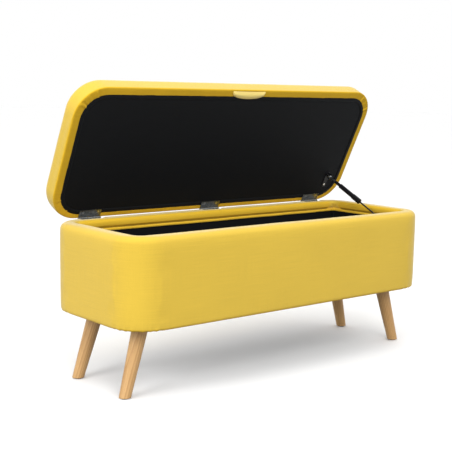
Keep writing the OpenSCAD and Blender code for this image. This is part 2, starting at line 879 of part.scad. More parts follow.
// Plate on the lid lining, under the tube's eye, with an ear that carries the upper pivot
module stay_lid_bracket() {
    face = panel_z - lining_t;
    color("#c4c4c0") lid() difference() {
        union() {
            translate([ear_x + stay_plate_t - stay_plate_w / 2, top_pivot[0] + lid_plate_shift,
                       face - stay_plate_t])
                round_plate(stay_plate_w / 2, stay_plate_l / 2, plate_corner_r, stay_plate_t);
            translate([ear_x, top_pivot[0] - ear_r, top_pivot[1]])
                cube([stay_plate_t, 2 * ear_r, face - top_pivot[1]]);
            translate([ear_x, top_pivot[0], top_pivot[1]]) rotate([0, 90, 0])
                cylinder(h = stay_plate_t, r = ear_r);
        }
        translate([ear_x - past, top_pivot[0], top_pivot[1]]) rotate([0, 90, 0])
            cylinder(h = stay_plate_t + 2 * past, r = pivot_r + screw_clear, $fn = 32);
        stay_lid_screw_places() screw_hole(screw_l);
    }
}

module stay_lid_screw_places() {
    x = ear_x + stay_plate_t - stay_plate_w / 2;
    y = top_pivot[0] + lid_plate_shift;
    for (s = [-1, 1])
        translate([x, y + s * (stay_plate_l / 2 - lid_screw_in), panel_z - lining_t - stay_plate_t])
            rotate([180, 0, 0]) children();
}

module stay_lid_screws() {
    color("#b9b9b5") lid() stay_lid_screw_places() screw(screw_l);
}

// Pivot pin riveted in the ear, with a flange that keeps the eye on
module stay_lid_pivot() {
    start = stay_x - eye_w / 2 - gap;
    reach = ear_x + stay_plate_t - start;
    color("#a9a9a6") lid() translate([start, top_pivot[0], top_pivot[1]]) rotate([0, 90, 0]) {
        translate([0, 0, -flange_t]) cylinder(h = flange_t, r = pivot_r + flange_over);
        cylinder(h = reach, r = pivot_r, $fn = 32);
        translate([0, 0, reach]) cylinder(h = flange_t, r = pivot_r + flange_over);
    }
}

// Eye on the tube's upper end
module stay_tube_eye() {
    color("#c4c4c0") stay() difference() {
        union() {
            translate([-eye_w / 2, 0, 0]) rotate([0, 90, 0]) cylinder(h = eye_w, r = eye_r);
            cylinder(h = neck_start, r = eye_neck_r);
        }
        translate([-eye_w, 0, 0]) rotate([0, 90, 0])
            cylinder(h = 2 * eye_w, r = pivot_r + pin_clear, $fn = 32);
    }
}

module stay_tube() {
    tube_end = collar_end - cap_t;
    color("#1c1c1e") stay() difference() {
        union() {
            translate([0, 0, neck_start]) cylinder(h = tube_start - neck_start, r = neck_r);
            translate([0, 0, tube_start]) cylinder(h = shoulder_l, r1 = neck_r, r2 = tube_r);
            translate([0, 0, tube_start + shoulder_l])
                cylinder(h = tube_end - tube_start - shoulder_l, r = tube_r);
        }
        translate([0, 0, tube_start + shoulder_l + past]) cylinder(h = tube_end - tube_start, r = bore_r);
    }
}

// Collar pressed over the tube's lower end, closed by a cap that the rod passes through
module stay_collar() {
    color("#26262a") stay() difference() {
        union() {
            translate([0, 0, collar_end - collar_l])
                cylinder(h = collar_ease, r1 = collar_r - collar_ease, r2 = collar_r);
            translate([0, 0, collar_end - collar_l + collar_ease])
                cylinder(h = collar_l - 2 * collar_ease, r = collar_r);
            translate([0, 0, collar_end - collar_ease])
                cylinder(h = collar_ease, r1 = collar_r, r2 = collar_r - collar_ease);
        }
        translate([0, 0, collar_end - collar_l - past])
            cylinder(h = collar_l - cap_t + past, r = tube_r);
        translate([0, 0, collar_end - cap_t - past])
            cylinder(h = cap_t + 2 * past, r = rod_r + pin_clear, $fn = 32);
    }
}

module stay_seal() {
    color("#3a3a3e") stay() translate([0, 0, collar_end - cap_t - seal_l]) difference() {
        cylinder(h = seal_l, r = bore_r);
        translate([0, 0, -past]) cylinder(h = seal_l + 2 * past, r = rod_r + pin_clear, $fn = 32);
    }
}

module stay_rod() {
    color("#6a6a6e") stay() translate([0, 0, rod_top])
        cylinder(h = stay_l - rod_top - stud_r + rod_in, r = rod_r, $fn = 32);
}

module stay_piston() {
    color("#3a3a3e") stay() translate([0, 0, rod_top - piston_l])
        cylinder(h = piston_l, r = bore_r - pin_clear);
}

// Eye and stud on the rod's lower end; the stud's face stops just short of the wall plate
module stay_rod_stud() {
    reach = wall_plate_x - gap - stay_x;
    color("#3a3a3e") stay() translate([0, 0, stay_l]) difference() {
        union() {
            translate([-stud_w / 2, 0, 0]) rotate([0, 90, 0]) cylinder(h = stud_w, r = stud_r);
            rotate([0, 90, 0]) cylinder(h = reach, r = pivot_r, $fn = 32);
            translate([reach - stud_rim, 0, 0]) rotate([0, 90, 0])
                cylinder(h = stud_rim, r = pivot_r + flange_over);
        }
        translate([0, 0, rod_in - stud_r - over_cut]) cylinder(h = over_cut, r = rod_r, $fn = 32);
    }
}

// Plate on the right wall, over the lining, that holds the stay's lower end
module stay_wall_plate() {
    color("#c4c4c0") bench() difference() {
        translate([wall_plate_x, foot_pivot[0], foot_pivot[1]]) rotate([0, 90, 0])
            round_plate(wall_plate_h / 2, wall_plate_l / 2, plate_corner_r, stay_plate_t);
        stay_wall_screw_places() screw_hole(wall_screw_l);
    }
}

module stay_wall_screw_places() {
    for (s = [-1, 1]) translate([wall_plate_x, foot_pivot[0] + s * wall_screw_dy, foot_pivot[1]])
        rotate([0, -90, 0]) children();
}

module stay_wall_screws() {
    color("#b9b9b5") bench() stay_wall_screw_places() screw(wall_screw_l);
}

// ---------------------------------------------------------------- nodes

bottom_board();
front_wall();
back_wall();
left_wall();
right_wall();
wall_battens();
rim_frame();
rim_frame_screws();
fibreboard_skin();
side_foam();
rim_foam();
body_cover();
rim_welt();
wall_lining();
floor_lining();
dust_cover();
leg_front_left();
leg_front_right();
leg_rear_left();
leg_rear_right();
leg_plate_front_left();
leg_plate_front_right();
leg_plate_rear_left();
leg_plate_rear_right();
leg_plate_screws();
hanger_bolts();
leg_glides();
hinge_left_body_leaf();
hinge_middle_body_leaf();
hinge_right_body_leaf();
hinge_left_pin();
hinge_middle_pin();
hinge_right_pin();
hinge_body_screws();
stay_wall_plate();
stay_wall_screws();
lid_panel();
lid_foam();
lid_cover();
lid_lining();
pull_tab();
hinge_left_lid_leaf();
hinge_middle_lid_leaf();
hinge_right_lid_leaf();
hinge_lid_screws();
stay_lid_bracket();
stay_lid_pivot();
stay_lid_screws();
stay_tube_eye();
stay_tube();
stay_collar();
stay_seal();
stay_rod();
stay_piston();
stay_rod_stud();
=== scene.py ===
import json
import math

import bmesh
import bpy
import numpy as np
from mathutils import Matrix, Vector, noise


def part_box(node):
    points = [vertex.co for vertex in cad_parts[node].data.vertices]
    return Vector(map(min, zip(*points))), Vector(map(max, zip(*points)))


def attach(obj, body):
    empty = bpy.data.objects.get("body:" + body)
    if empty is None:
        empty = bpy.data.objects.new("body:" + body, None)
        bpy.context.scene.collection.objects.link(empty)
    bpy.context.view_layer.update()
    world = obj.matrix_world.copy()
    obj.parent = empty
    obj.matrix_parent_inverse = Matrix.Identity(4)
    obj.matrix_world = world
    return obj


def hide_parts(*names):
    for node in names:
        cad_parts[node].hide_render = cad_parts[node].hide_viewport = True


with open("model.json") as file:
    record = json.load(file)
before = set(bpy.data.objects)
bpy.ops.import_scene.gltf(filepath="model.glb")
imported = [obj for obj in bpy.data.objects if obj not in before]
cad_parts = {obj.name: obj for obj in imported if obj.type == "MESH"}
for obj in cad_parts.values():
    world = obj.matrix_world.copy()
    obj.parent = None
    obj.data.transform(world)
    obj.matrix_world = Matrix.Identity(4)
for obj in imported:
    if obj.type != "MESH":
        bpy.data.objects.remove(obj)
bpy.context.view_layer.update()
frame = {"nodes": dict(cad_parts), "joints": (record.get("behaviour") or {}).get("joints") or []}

# An upholstered storage bench: padded box, padded lid held open by a stay, four turned legs.
# Lengths are metres. X runs along the bench, -Y is the front, Z is up.

MM = 0.001
NODES = frame["nodes"]


# ---------------------------------------------------------------- places, from the frame

HINGE = next(j for j in frame["joints"] if j["name"] == "lid_hinge")
HINGE_AXIS = Vector(HINGE["pos_m"])
LID_OPEN = math.radians(HINGE["range_deg"][1])
OPEN_TURN = (Matrix.Translation(HINGE_AXIS) @ Matrix.Rotation(-LID_OPEN, 4, "X")
             @ Matrix.Translation(-HINGE_AXIS))


def points_of(mesh):
    """Vertex positions of a mesh as an array."""
    co = np.zeros(len(mesh.vertices) * 3)
    mesh.vertices.foreach_get("co", co)
    return co.reshape(-1, 3)


def move_points(mesh, co):
    mesh.vertices.foreach_set("co", co.astype(np.float32).ravel())
    mesh.update()


def closed_box(node):
    """Corners of a lid node with the lid shut."""
    turn = np.array(OPEN_TURN.inverted())
    co = points_of(NODES[node].data) @ turn[:3, :3].T + turn[:3, 3]
    return co.min(0), co.max(0)


BOX_LOW, BOX_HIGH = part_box("body_cover")
BOX_X = (BOX_HIGH.x - BOX_LOW.x) / 2
BOX_Y = (BOX_HIGH.y - BOX_LOW.y) / 2
BOX_MID = Vector((0, (BOX_HIGH.y + BOX_LOW.y) / 2, 0))
HEM_Z = BOX_LOW.z
RIM_Z = BOX_HIGH.z
WELT_LOW, WELT_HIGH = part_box("rim_welt")
WELL_LOW, WELL_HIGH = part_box("wall_lining")
FRAME_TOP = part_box("rim_frame")[1].z
SKIN_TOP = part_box("fibreboard_skin")[1].z
SKIN_IN = BOX_HIGH.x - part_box("fibreboard_skin")[1].x

LID_LOW, LID_HIGH = closed_box("lid_cover")
LID_X = (LID_HIGH[0] - LID_LOW[0]) / 2
LID_Y = (LID_HIGH[1] - LID_LOW[1]) / 2
LID_MID = Vector((0, (LID_HIGH[1] + LID_LOW[1]) / 2, 0))
PANEL_LOW, PANEL_HIGH = closed_box("lid_panel")
LINING_LOW, LINING_HIGH = closed_box("lid_lining")

# Box cover: radii in plan and in section, and how far it is turned in
BOX_R = 90 * MM
CROWN_R = 17 * MM
HEM_R = 8 * MM
TURN_UNDER = 42 * MM
BOX_BULGE = 0.6 * MM
RIM_W = 50 * MM
RIM_R = 26 * MM
RIM_ROLL_R = 10 * MM
WELL_R = 5 * MM
BAND_RECESS = 4.0 * MM
STAPLE_PITCH = 42 * MM

# Lid: radii, crown of its top, border under its edge, and room for the hinges
LID_R = 87 * MM
LID_TOP_R = 25 * MM
LID_HEM_R = 4 * MM
LID_CROWN = 3.5 * MM
BORDER_IN = 24 * MM
LINING_R = 74 * MM
HINGE_REACH = 6 * MM
HINGE_PLACES = ("left", "middle", "right")

# Pull tab: a half moon sewn to the lid a little in front of the piece it stands for
TAB_W = 122 * MM
TAB_DROP = 26 * MM
TAB_SEAM_AHEAD = 3 * MM


# ---------------------------------------------------------------- outlines

class Outline:
    """Rounded rectangle sampled the same way at any size, so that rings can be joined.

    It starts at the middle of the front left corner and runs anticlockwise from above."""

    def __init__(self, corner_steps, long_steps, short_steps):
        self.corner = corner_steps
        self.steps = (long_steps, short_steps)
        turn, share, quarter = [], [], []
        for side in range(4):
            sides = self.steps[side % 2]
            half = corner_steps // 2
            turn += [45 + 90 * i / corner_steps for i in range(half)]
            share += [0.0] * half
            turn += [90.0] * sides
            share += [i / sides for i in range(sides)]
            turn += [90 + 90 * i / corner_steps for i in range(half)]
            share += [1.0] * half
            quarter += [side] * (half * 2 + sides)
        self.turn = np.radians(np.array(turn) + 180)
        self.share = np.array(share)
        self.quarter = np.array(quarter)
        self.count = len(turn)

    def back_left(self):
        """Column in the middle of the back left corner."""
        return self.count - self.corner - self.steps[1]

    def columns(self):
        """Steps along the front and along the side, corner middle to corner middle."""
        return [self.corner + s for s in self.steps]

    def normals(self):
        angle = self.turn + self.quarter * math.pi / 2
        return np.stack([np.cos(angle), np.sin(angle)], 1)

    def ring(self, half_x, half_y, radius):
        """Points of the outline with these half sizes and corner radius."""
        signs = np.array([(-1, -1), (1, -1), (1, 1), (-1, 1)], float)
        core = np.array([half_x - radius, half_y - radius])
        start = signs[self.quarter] * core
        end = signs[(self.quarter + 1) % 4] * core
        centre = start + (end - start) * self.share[:, None]
        return centre + self.normals() * radius

    def travel(self, half_x, half_y, radius):
        """Distance along the outline at each point, and the whole way round."""
        ring = self.ring(half_x, half_y, radius)
        step = np.linalg.norm(np.roll(ring, -1, 0) - ring, axis=1)
        return np.concatenate([[0], np.cumsum(step)])


def arc(x, z, radius, first, last, steps):
    """Section points on an arc, angles in degrees from the +x side."""
    angles = np.radians(np.linspace(first, last, steps + 1))
    return [(x + radius * math.cos(a), z + radius * math.sin(a)) for a in angles]


def line(start, end, steps):
    """Section points on a line, without its end."""
    way = np.array(end) - start
    return [tuple(np.array(start) + way * i / steps) for i in range(steps)]


def smooth(x, low, high):
    """0 below low, 1 above high, and an even step in between."""
    t = np.clip((x - low) / (high - low), 0, 1)
    return t * t * (3 - 2 * t)


def bump_at(x, centre, width):
    """Bell of height 1 about centre."""
    return np.exp(-((x - centre) / width) ** 2)


def waves(co, pitch, seed):
    """Soft uneven noise at each point, about -1 to 1."""
    shift = Vector((seed, 2.7 * seed, 1.3 * seed))
    return np.array([noise.noise(Vector(p) / pitch + shift) for p in co])


# ---------------------------------------------------------------- mesh making

def mesh_object(name, points, faces, uvs=None):
    """Object at the origin with these faces. uvs holds one pair for each face corner."""
    mesh = bpy.data.meshes.new(name)
    mesh.from_pydata([tuple(p) for p in points], [], faces)
    if uvs is not None:
        layer = mesh.uv_layers.new(name="cloth")
        layer.data.foreach_set("uv", np.array(uvs, np.float32).ravel())
    mesh.shade_smooth()
    obj = bpy.data.objects.new(name, mesh)
    bpy.context.scene.collection.objects.link(obj)
    return obj


class Cloth:
    """Gathers points, faces and the cloth's own measure at each face corner."""

    def __init__(self):
        self.points = []
        self.faces = []
        self.uvs = []

    def add_points(self, co):
        first = len(self.points)
        self.points += [tuple(p) for p in co]
        return first

    def add_face(self, corners, uvs):
        self.faces.append(corners)
        self.uvs += uvs

    def sweep(self, rings, along, across, closed=False, seam=None):
        """Joins rings of points. along is each column's measure, across is each ring's. The
        measure starts again at the seam column."""
        first = [self.add_points(r) for r in rings]
        count = len(rings[0])
        rows = len(rings) if closed else len(rings) - 1
        for i in range(rows):
            a, b = first[i], first[(i + 1) % len(rings)]
            for j in range(count):
                k = (j + 1) % count
                back = along[-1] if seam and j >= seam else 0
                u, v = along[j] - back, along[j + 1] - back
                self.add_face((a + j, a + k, b + k, b + j),
                              [(u, across[i]), (v, across[i]),
                               (v, across[i + 1]), (u, across[i + 1])])
        return first

    def fill(self, first, ring, columns, height, upward=True):
        """Closes a ring with a grid, whose height(x, y) gives z. The cloth is measured in plan."""
        n, m = columns
        ring = np.array(ring)
        front = ring[:n + 1]
        right = ring[n:n + m + 1]
        back = ring[n + m:2 * n + m + 1][::-1]
        left = np.concatenate([ring[2 * n + m:], ring[:1]])[::-1]
        index = {}
        for i in range(n + 1):
            index[i, 0] = first + i
            index[i, m] = first + 2 * n + m - i
        for j in range(m + 1):
            index[n, j] = first + n + j
            index[0, j] = first + (2 * n + 2 * m - j) % len(ring)
        for i in range(1, n):
            for j in range(1, m):
                s, t = i / n, j / m
                p = ((1 - t) * front[i] + t * back[i] + (1 - s) * left[j] + s * right[j]
                     - (1 - s) * (1 - t) * front[0] - s * (1 - t) * front[n]
                     - (1 - s) * t * back[0] - s * t * back[n])
                index[i, j] = self.add_points([(p[0], p[1], height(p[0], p[1]))])
        for i in range(n):
            for j in range(m):
                corners = [index[i, j], index[i + 1, j], index[i + 1, j + 1], index[i, j + 1]]
                if not upward:
                    corners.reverse()
                self.add_face(tuple(corners), [self.points[c][:2] for c in corners])

    def build(self, name):
        return mesh_object(name, self.points, self.faces, self.uvs)


def finished(obj, subdivisions=0, thickness=0.0, offset=-1.0):
    """Applies a subdivision and a thickness, and leaves a plain mesh."""
    if subdivisions:
        level = obj.modifiers.new("smooth", "SUBSURF")
        level.levels = level.render_levels = subdivisions
        level.boundary_smooth = "PRESERVE_CORNERS"
    if thickness:
        wall = obj.modifiers.new("wall", "SOLIDIFY")
        wall.thickness = thickness
        wall.offset = offset
    return plain(obj)


def plain(obj):
    """Turns what the modifiers make into the object's own mesh."""
    graph = bpy.context.evaluated_depsgraph_get()
    mesh = bpy.data.meshes.new_from_object(obj.evaluated_get(graph))
    obj.modifiers.clear()
    obj.data = mesh
    mesh.shade_smooth()
    return obj


def swell(obj, held, pressure, cap, stiffness=30):
    """Puffs a padded form with the cloth solver. held marks the points that stay put. The
    cover is tight, so only the outward part of the swelling is kept, up to cap."""
    start = points_of(obj.data)
    normals = np.zeros(len(start) * 3, np.float32)
    obj.data.vertex_normals.foreach_get("vector", normals)
    normals = normals.reshape(-1, 3)
    group = obj.vertex_groups.new(name="held")
    group.add([int(i) for i in np.nonzero(held)[0]], 1.0, "REPLACE")
    cloth = obj.modifiers.new("cloth", "CLOTH")
    settings = cloth.settings
    settings.quality = 5
    settings.mass = 0.3
    settings.tension_stiffness = settings.compression_stiffness = stiffness
    settings.shear_stiffness = stiffness / 2
    settings.bending_stiffness = 2.0
    settings.use_pressure = True
    settings.uniform_pressure_force = pressure
    settings.effector_weights.gravity = 0
    settings.vertex_group_mass = "held"
    cloth.collision_settings.use_self_collision = False
    scene = bpy.context.scene
    last_frame = 20
    cloth.point_cache.frame_end = last_frame
    for number in range(1, last_frame + 1):
        scene.frame_set(number)
    graph = bpy.context.evaluated_depsgraph_get()
    moved = points_of(obj.evaluated_get(graph).data) - start
    obj.modifiers.clear()
    obj.vertex_groups.clear()
    scene.frame_set(1)
    rise = (moved * normals).sum(1)
    print(obj.name, "swelled by up to", round(float(rise.max()) / MM, 1), "mm")
    rise = cap * np.tanh(np.maximum(rise, 0) / cap)
    move_points(obj.data, start + normals * rise[:, None])


def set_painted_light(obj, values):
    """Painted light level kept on the points: 2 for the pale painted highlight of the pull tab, 1 on
    outer faces, 0 for the painted shade of inner and under faces, and -1 for a painted groove shadow."""
    layer = obj.data.attributes.new("painted_light", "FLOAT", "POINT")
    layer.data.foreach_set("value", np.clip(values, -1, 2).astype(np.float32))


def open_lid(obj):
    """Swings a piece made on the shut lid to where the open lid stands."""
    obj.data.transform(OPEN_TURN)
    obj.data.update()
    return obj


# ---------------------------------------------------------------- box cover

def box_section():
    """Inset and height of the cover's section: turned hem, side, crown, rim, band, then back
    up inside along the timber. The last value is the plan radius of that ring."""
    band_foot = WELT_HIGH.z + 4.2 * MM
    shoulder = RIM_Z - CROWN_R
    outer = line((TURN_UNDER, HEM_Z), (HEM_R, HEM_Z), 4)
    outer += arc(HEM_R, HEM_Z + HEM_R, HEM_R, 270, 180, 4)[:-1]
    outer += line((0, HEM_Z + HEM_R), (0, shoulder), 20)
    outer += arc(CROWN_R, shoulder, CROWN_R, 180, 90, 5)[:-1]
    section = [(d, z, BOX_R - d) for d, z in outer]
    roll = RIM_W - RIM_ROLL_R
    flat = line((CROWN_R, RIM_Z), (roll, RIM_Z), 4)
    section += [(d, z, BOX_R - d + (d - CROWN_R) / (roll - CROWN_R) * (RIM_R + roll - BOX_R))
                for d, z in flat]
    inner = arc(roll, RIM_Z - RIM_ROLL_R, RIM_ROLL_R, 90, 0, 5)[:-1]
    for step in range(7):
        a = math.radians(90 * step / 6)
        inner.append((RIM_W - BAND_RECESS * (1 - math.cos(a)),
                      RIM_Z - RIM_ROLL_R - (RIM_Z - RIM_ROLL_R - band_foot) * math.sin(a)))
    top = RIM_Z
    foot = WELT_HIGH.z
    section += [(d, z, WELL_R + (RIM_R - WELL_R) * float(smooth(z, foot + 4 * MM, top)))
                for d, z in inner]
    timber = RIM_W - 4.8 * MM
    outside = SKIN_IN - 0.5 * MM
    frame_in = SKIN_IN + 3.4 * MM
    inner_foot = RIM_W - BAND_RECESS
    back = [(inner_foot, foot + 1.5 * MM), (inner_foot, foot - 3 * MM), (timber, foot - 3 * MM),
            (timber, foot + 2 * MM), (timber, FRAME_TOP - 2 * MM),
            (timber, FRAME_TOP + 0.1 * MM), (timber - 6 * MM, FRAME_TOP + 0.2 * MM)]
    section += [(d, z, WELL_R + 2 * MM) for d, z in back]
    back = [(frame_in, FRAME_TOP + 0.2 * MM), (outside, SKIN_TOP + 1 * MM),
            (outside, (HEM_Z + SKIN_TOP) / 2), (outside, HEM_Z + HEM_R),
            (outside + 1 * MM, HEM_Z + 1.7 * MM), (TURN_UNDER, HEM_Z + 1.7 * MM)]
    section += [(d, z, BOX_R - d) for d, z in back]
    return section


def box_rings(outline, section):
    rings = []
    for d, z, radius in section:
        ring = outline.ring(BOX_X - d, BOX_Y - d, radius)
        rings.append(np.column_stack([ring + np.array(BOX_MID)[:2], np.full(len(ring), z)]))
    return rings


def measure_of(rings):
    """How far along the section each ring lies, taken at the middle of the front."""
    middle = np.array([r[len(r) // 8] for r in rings])
    step = np.linalg.norm(np.diff(np.concatenate([middle, middle[:1]]), axis=0), axis=1)
    return np.concatenate([[0], np.cumsum(step)])


def make_box_cover():
    """Padded sides, rim and inner band under one cover, turned under at the hem."""
    outline = Outline(24, 110, 30)
    section = box_section()
    rings = box_rings(outline, section)
    cloth = Cloth()
    cloth.sweep(rings, outline.travel(BOX_X, BOX_Y, BOX_R), measure_of(rings), closed=True,
                seam=outline.back_left())
    obj = cloth.build("box_cover")
    co = points_of(obj.data)
    inset = plan_inset(co, BOX_MID, BOX_X, BOX_Y, BOX_R)
    held = (inset > SKIN_IN - 1 * MM) & (co[:, 2] < FRAME_TOP + 1 * MM)
    swell(obj, held | (co[:, 2] < HEM_Z + 4 * MM), 3.0, 1.2 * MM)
    finished(obj, subdivisions=1)
    co = points_of(obj.data)
    inset = plan_inset(co, BOX_MID, BOX_X, BOX_Y, BOX_R)
    height = co[:, 2]
    out = plan_normals(co, BOX_MID, BOX_X, BOX_Y, BOX_R)
    # The sides swell a little between hem and rim, and stay slightly uneven
    side = smooth(height, HEM_Z + 2 * MM, HEM_Z + 60 * MM)
    side *= 1 - smooth(height, RIM_Z - 60 * MM, RIM_Z)
    side *= 1 - smooth(inset, 2 * MM, 7 * MM)
    push = side * (BOX_BULGE + 0.35 * MM * waves(co, 0.16, 3.1))
    push += side * 0.18 * MM * waves(co * [1, 1, 3.2], 0.055, 8.4)
    co[:, :2] += out * push[:, None]
    # The rim is soft: its top and the inner band wander a little
    rim = smooth(height, RIM_Z - 12 * MM, RIM_Z - 3 * MM) * smooth(inset, 4 * MM, 14 * MM)
    rim *= 1 - smooth(inset, RIM_W - 2 * MM, RIM_W + 2 * MM)
    behind = smooth(co[:, 1], BOX_MID.y + BOX_Y - RIM_W, BOX_MID.y + BOX_Y - 20 * MM)
    co[:, 2] += rim * (0.9 * MM * waves(co, 0.12, 5.5) + (0.3 + 0.9 * behind) * MM)
    band = smooth(inset, RIM_W - 4.5 * MM, RIM_W - 2 * MM) * (height < RIM_Z - 6 * MM)
    co[:, :2] -= out * (band * 0.8 * MM * waves(co, 0.075, 9.2))[:, None]
    co[:, 2] += band * 1.1 * MM * waves(co, 0.09, 2.2)
    fold_corners(co, inset, band)
    gather_hem(co, inset)
    dent_under_leaves(co, height)
    move_points(obj.data, co)
    # Painted shade: the inner band, the turned-under hem and the groove above the welt get the shaded
    # copy of the yellow and less sheen, and the groove a dark painted shadow as well.
    inside = 0.75 * smooth(inset, RIM_W - 9 * MM, RIM_W - 3 * MM)
    groove = 1 - smooth(height, WELT_HIGH.z + 3 * MM, WELT_HIGH.z + 8 * MM)
    groove *= inset > RIM_W - 6 * MM
    under = 1 - smooth(height, HEM_Z, HEM_Z + 10 * MM)
    set_painted_light(obj, 1 - np.maximum(inside, under) - 1.2 * groove)
    return obj


def gather_hem(co, inset):
    """Small tucks where the cover is drawn under the box at its rounded corners."""
    p = np.abs(co[:, :2] - np.array(BOX_MID)[:2])
    q = p - [BOX_X - BOX_R, BOX_Y - BOX_R]
    at_corner = smooth(q.min(1), -20 * MM, 5 * MM)
    low = (1 - smooth(co[:, 2], HEM_Z + 3 * MM, HEM_Z + 24 * MM)) * (inset < TURN_UNDER - 6 * MM)
    turn = np.arctan2(q[:, 1], q[:, 0]) * 13 + 1.5 * waves(co, 0.03, 7.1)
    out = plan_normals(co, BOX_MID, BOX_X, BOX_Y, BOX_R)
    tuck = at_corner * low * np.abs(np.sin(turn))
    co[:, :2] -= out * (tuck * 1.5 * MM)[:, None]
    co[:, 2] += tuck * (co[:, 2] < HEM_Z + 4 * MM) * 0.9 * MM


def plan_inset(co, mid, half_x, half_y, radius):
    """How far each point lies inside the rounded outline, seen from above."""
    q = np.abs(co[:, :2] - np.array(mid)[:2]) - [half_x - radius, half_y - radius]
    outside = np.linalg.norm(np.maximum(q, 0), axis=1)
    return radius - outside - np.minimum(q.max(1), 0)


def plan_normals(co, mid, half_x, half_y, radius):
    """Outward direction of the rounded outline at each point, seen from above."""
    p = co[:, :2] - np.array(mid)[:2]
    q = np.maximum(np.abs(p) - [half_x - radius, half_y - radius], 0) * np.sign(p)
    length = np.linalg.norm(q, axis=1)
    return q / np.maximum(length, 1e-9)[:, None]


def fold_corners(co, inset, band):
    """A mitre fold where the cover turns down into each corner of the compartment."""
    p = np.abs(co[:, :2] - np.array(BOX_MID)[:2])
    corner = np.array([BOX_X - RIM_W - WELL_R, BOX_Y - RIM_W - WELL_R])
    off = (p - corner) @ np.array([1, -1]) / math.sqrt(2)
    reach = np.linalg.norm(p - corner, axis=1) < 40 * MM
    fold = reach * bump_at(off, 0, 2.2 * MM) * np.clip(band, 0, 1)
    co[:, :2] += np.sign(co[:, :2] - np.array(BOX_MID)[:2]) * (fold * 1.6 * MM)[:, None]
    crease = reach * bump_at(off, 0, 2.5 * MM) * smooth(inset, 30 * MM, RIM_W)
    co[:, 2] -= crease * 1.0 * MM * (co[:, 2] > RIM_Z - 10 * MM)


def dent_under_leaves(co, height):
    """Presses the rim down under the three hinge leaves that are screwed through it."""
    bed = FRAME_TOP + 0.25 * MM
    ease = 5 * MM
    for which in HINGE_PLACES:
        low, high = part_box(f"hinge_{which}_body_leaf")
        side = np.maximum(low.x - 1 * MM - co[:, 0], co[:, 0] - high.x - 1 * MM)
        depth = low.y - 1 * MM - co[:, 1]
        away = np.maximum(np.maximum(side, depth), 0)
        press = (1 - smooth(away, 0, ease)) * (height > bed)
        co[:, 2] = np.where(height > bed, co[:, 2] + (bed - co[:, 2]) * press, co[:, 2])


# ---------------------------------------------------------------- lining and welt of the box

def make_rim_welt():
    """Folded strip that covers the top edge of the black lining."""
    outline = Outline(8, 150, 46)
    mid_z = (WELT_LOW.z + WELT_HIGH.z) / 2
    half = (WELT_HIGH.z - WELT_LOW.z) / 2
    well_x = WELT_HIGH.x - 6.0 * MM
    inset = BOX_X - WELL_HIGH.x
    front = RIM_W + 1.1 * MM
    section = arc((front + inset) / 2, mid_z, 1.0, 0, 330, 11)
    rings = []
    for x, z in section:
        d = (front + inset) / 2 + (x - (front + inset) / 2) * (front - inset) / 2
        ring = outline.ring(BOX_X - d, BOX_Y - d, WELL_R)
        rings.append(np.column_stack([ring + np.array(BOX_MID)[:2],
                                      np.full(len(ring), mid_z + (z - mid_z) * half)]))
    cloth = Cloth()
    along = outline.travel(well_x, BOX_Y - RIM_W, WELL_R)
    cloth.sweep(rings, along, measure_of(rings), closed=True)
    obj = cloth.build("welt_strip")
    finished(obj, subdivisions=1)
    co = points_of(obj.data)
    co[:, 2] += 0.7 * MM * waves(co * [1, 1, 0], 0.085, 4.4)
    out = plan_normals(co, BOX_MID, BOX_X - RIM_W, BOX_Y - RIM_W, WELL_R)
    co[:, :2] -= out * (0.35 * MM * waves(co, 0.03, 6.1))[:, None]
    move_points(obj.data, co)
    # Painted shade: the welt takes mostly the shaded copy of the yellow, with little sheen.
    set_painted_light(obj, np.full(len(co), 0.25))
    return obj


def make_wall_lining():
    """Black cloth round the walls of the compartment, slightly loose."""
    outline = Outline(4, 90, 28)
    rows = 22
    top = WELT_LOW.z + 3 * MM
    half_x = WELL_HIGH.x - 1.6 * MM
    half_y = (WELL_HIGH.y - WELL_LOW.y) / 2 - 1.6 * MM
    middle = (WELL_HIGH.y + WELL_LOW.y) / 2
    rings = []
    for i in range(rows + 1):
        z = top + (WELL_LOW.z + 0.3 * MM - top) * i / rows
        ring = outline.ring(half_x, half_y, 6 * MM)
        rings.append(np.column_stack([ring + [0, middle], np.full(len(ring), z)]))
    cloth = Cloth()
    cloth.sweep(rings, outline.travel(half_x, half_y, 6 * MM), measure_of(rings))
    obj = cloth.build("wall_cloth")
    co = points_of(obj.data)
    out = plan_normals(co, Vector((0, middle, 0)), half_x, half_y, 6 * MM)
    loose = 0.6 * MM + 0.6 * MM * waves(co * [1, 1, 0.35], 0.08, 1.9)
    free = smooth(co[:, 2], WELL_LOW.z, WELL_LOW.z + 30 * MM)
    free *= 1 - smooth(co[:, 2], top - 14 * MM, top)
    co[:, :2] -= out * (free * np.maximum(loose, 0))[:, None]
    move_points(obj.data, co)
    return finished(obj, subdivisions=1, thickness=0.8 * MM)


def make_floor_lining():
    """Black cloth glued to the floor of the compartment."""
    low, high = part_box("floor_lining")
    outline = Outline(4, 96, 30)
    half_x = (high.x - low.x) / 2 - 0.5 * MM
    half_y = (high.y - low.y) / 2 - 0.5 * MM
    middle = (high.y + low.y) / 2
    ring = outline.ring(half_x, half_y, 3 * MM) + [0, middle]
    cloth = Cloth()
    level = low.z + 0.9 * MM
    first = cloth.add_points(np.column_stack([ring, np.full(len(ring), level)]))
    cloth.fill(first, ring, outline.columns(), lambda x, y: level)
    obj = cloth.build("floor_cloth")
    co = points_of(obj.data)
    edge = plan_inset(co, Vector((0, middle, 0)), half_x, half_y, 3 * MM)
    ruck = np.maximum(waves(co * [1, 0.6, 1], 0.07, 7.7), 0) * 1.2 * MM
    co[:, 2] += ruck * smooth(edge, 4 * MM, 30 * MM)
    move_points(obj.data, co)
    return finished(obj, subdivisions=1, thickness=0.7 * MM)


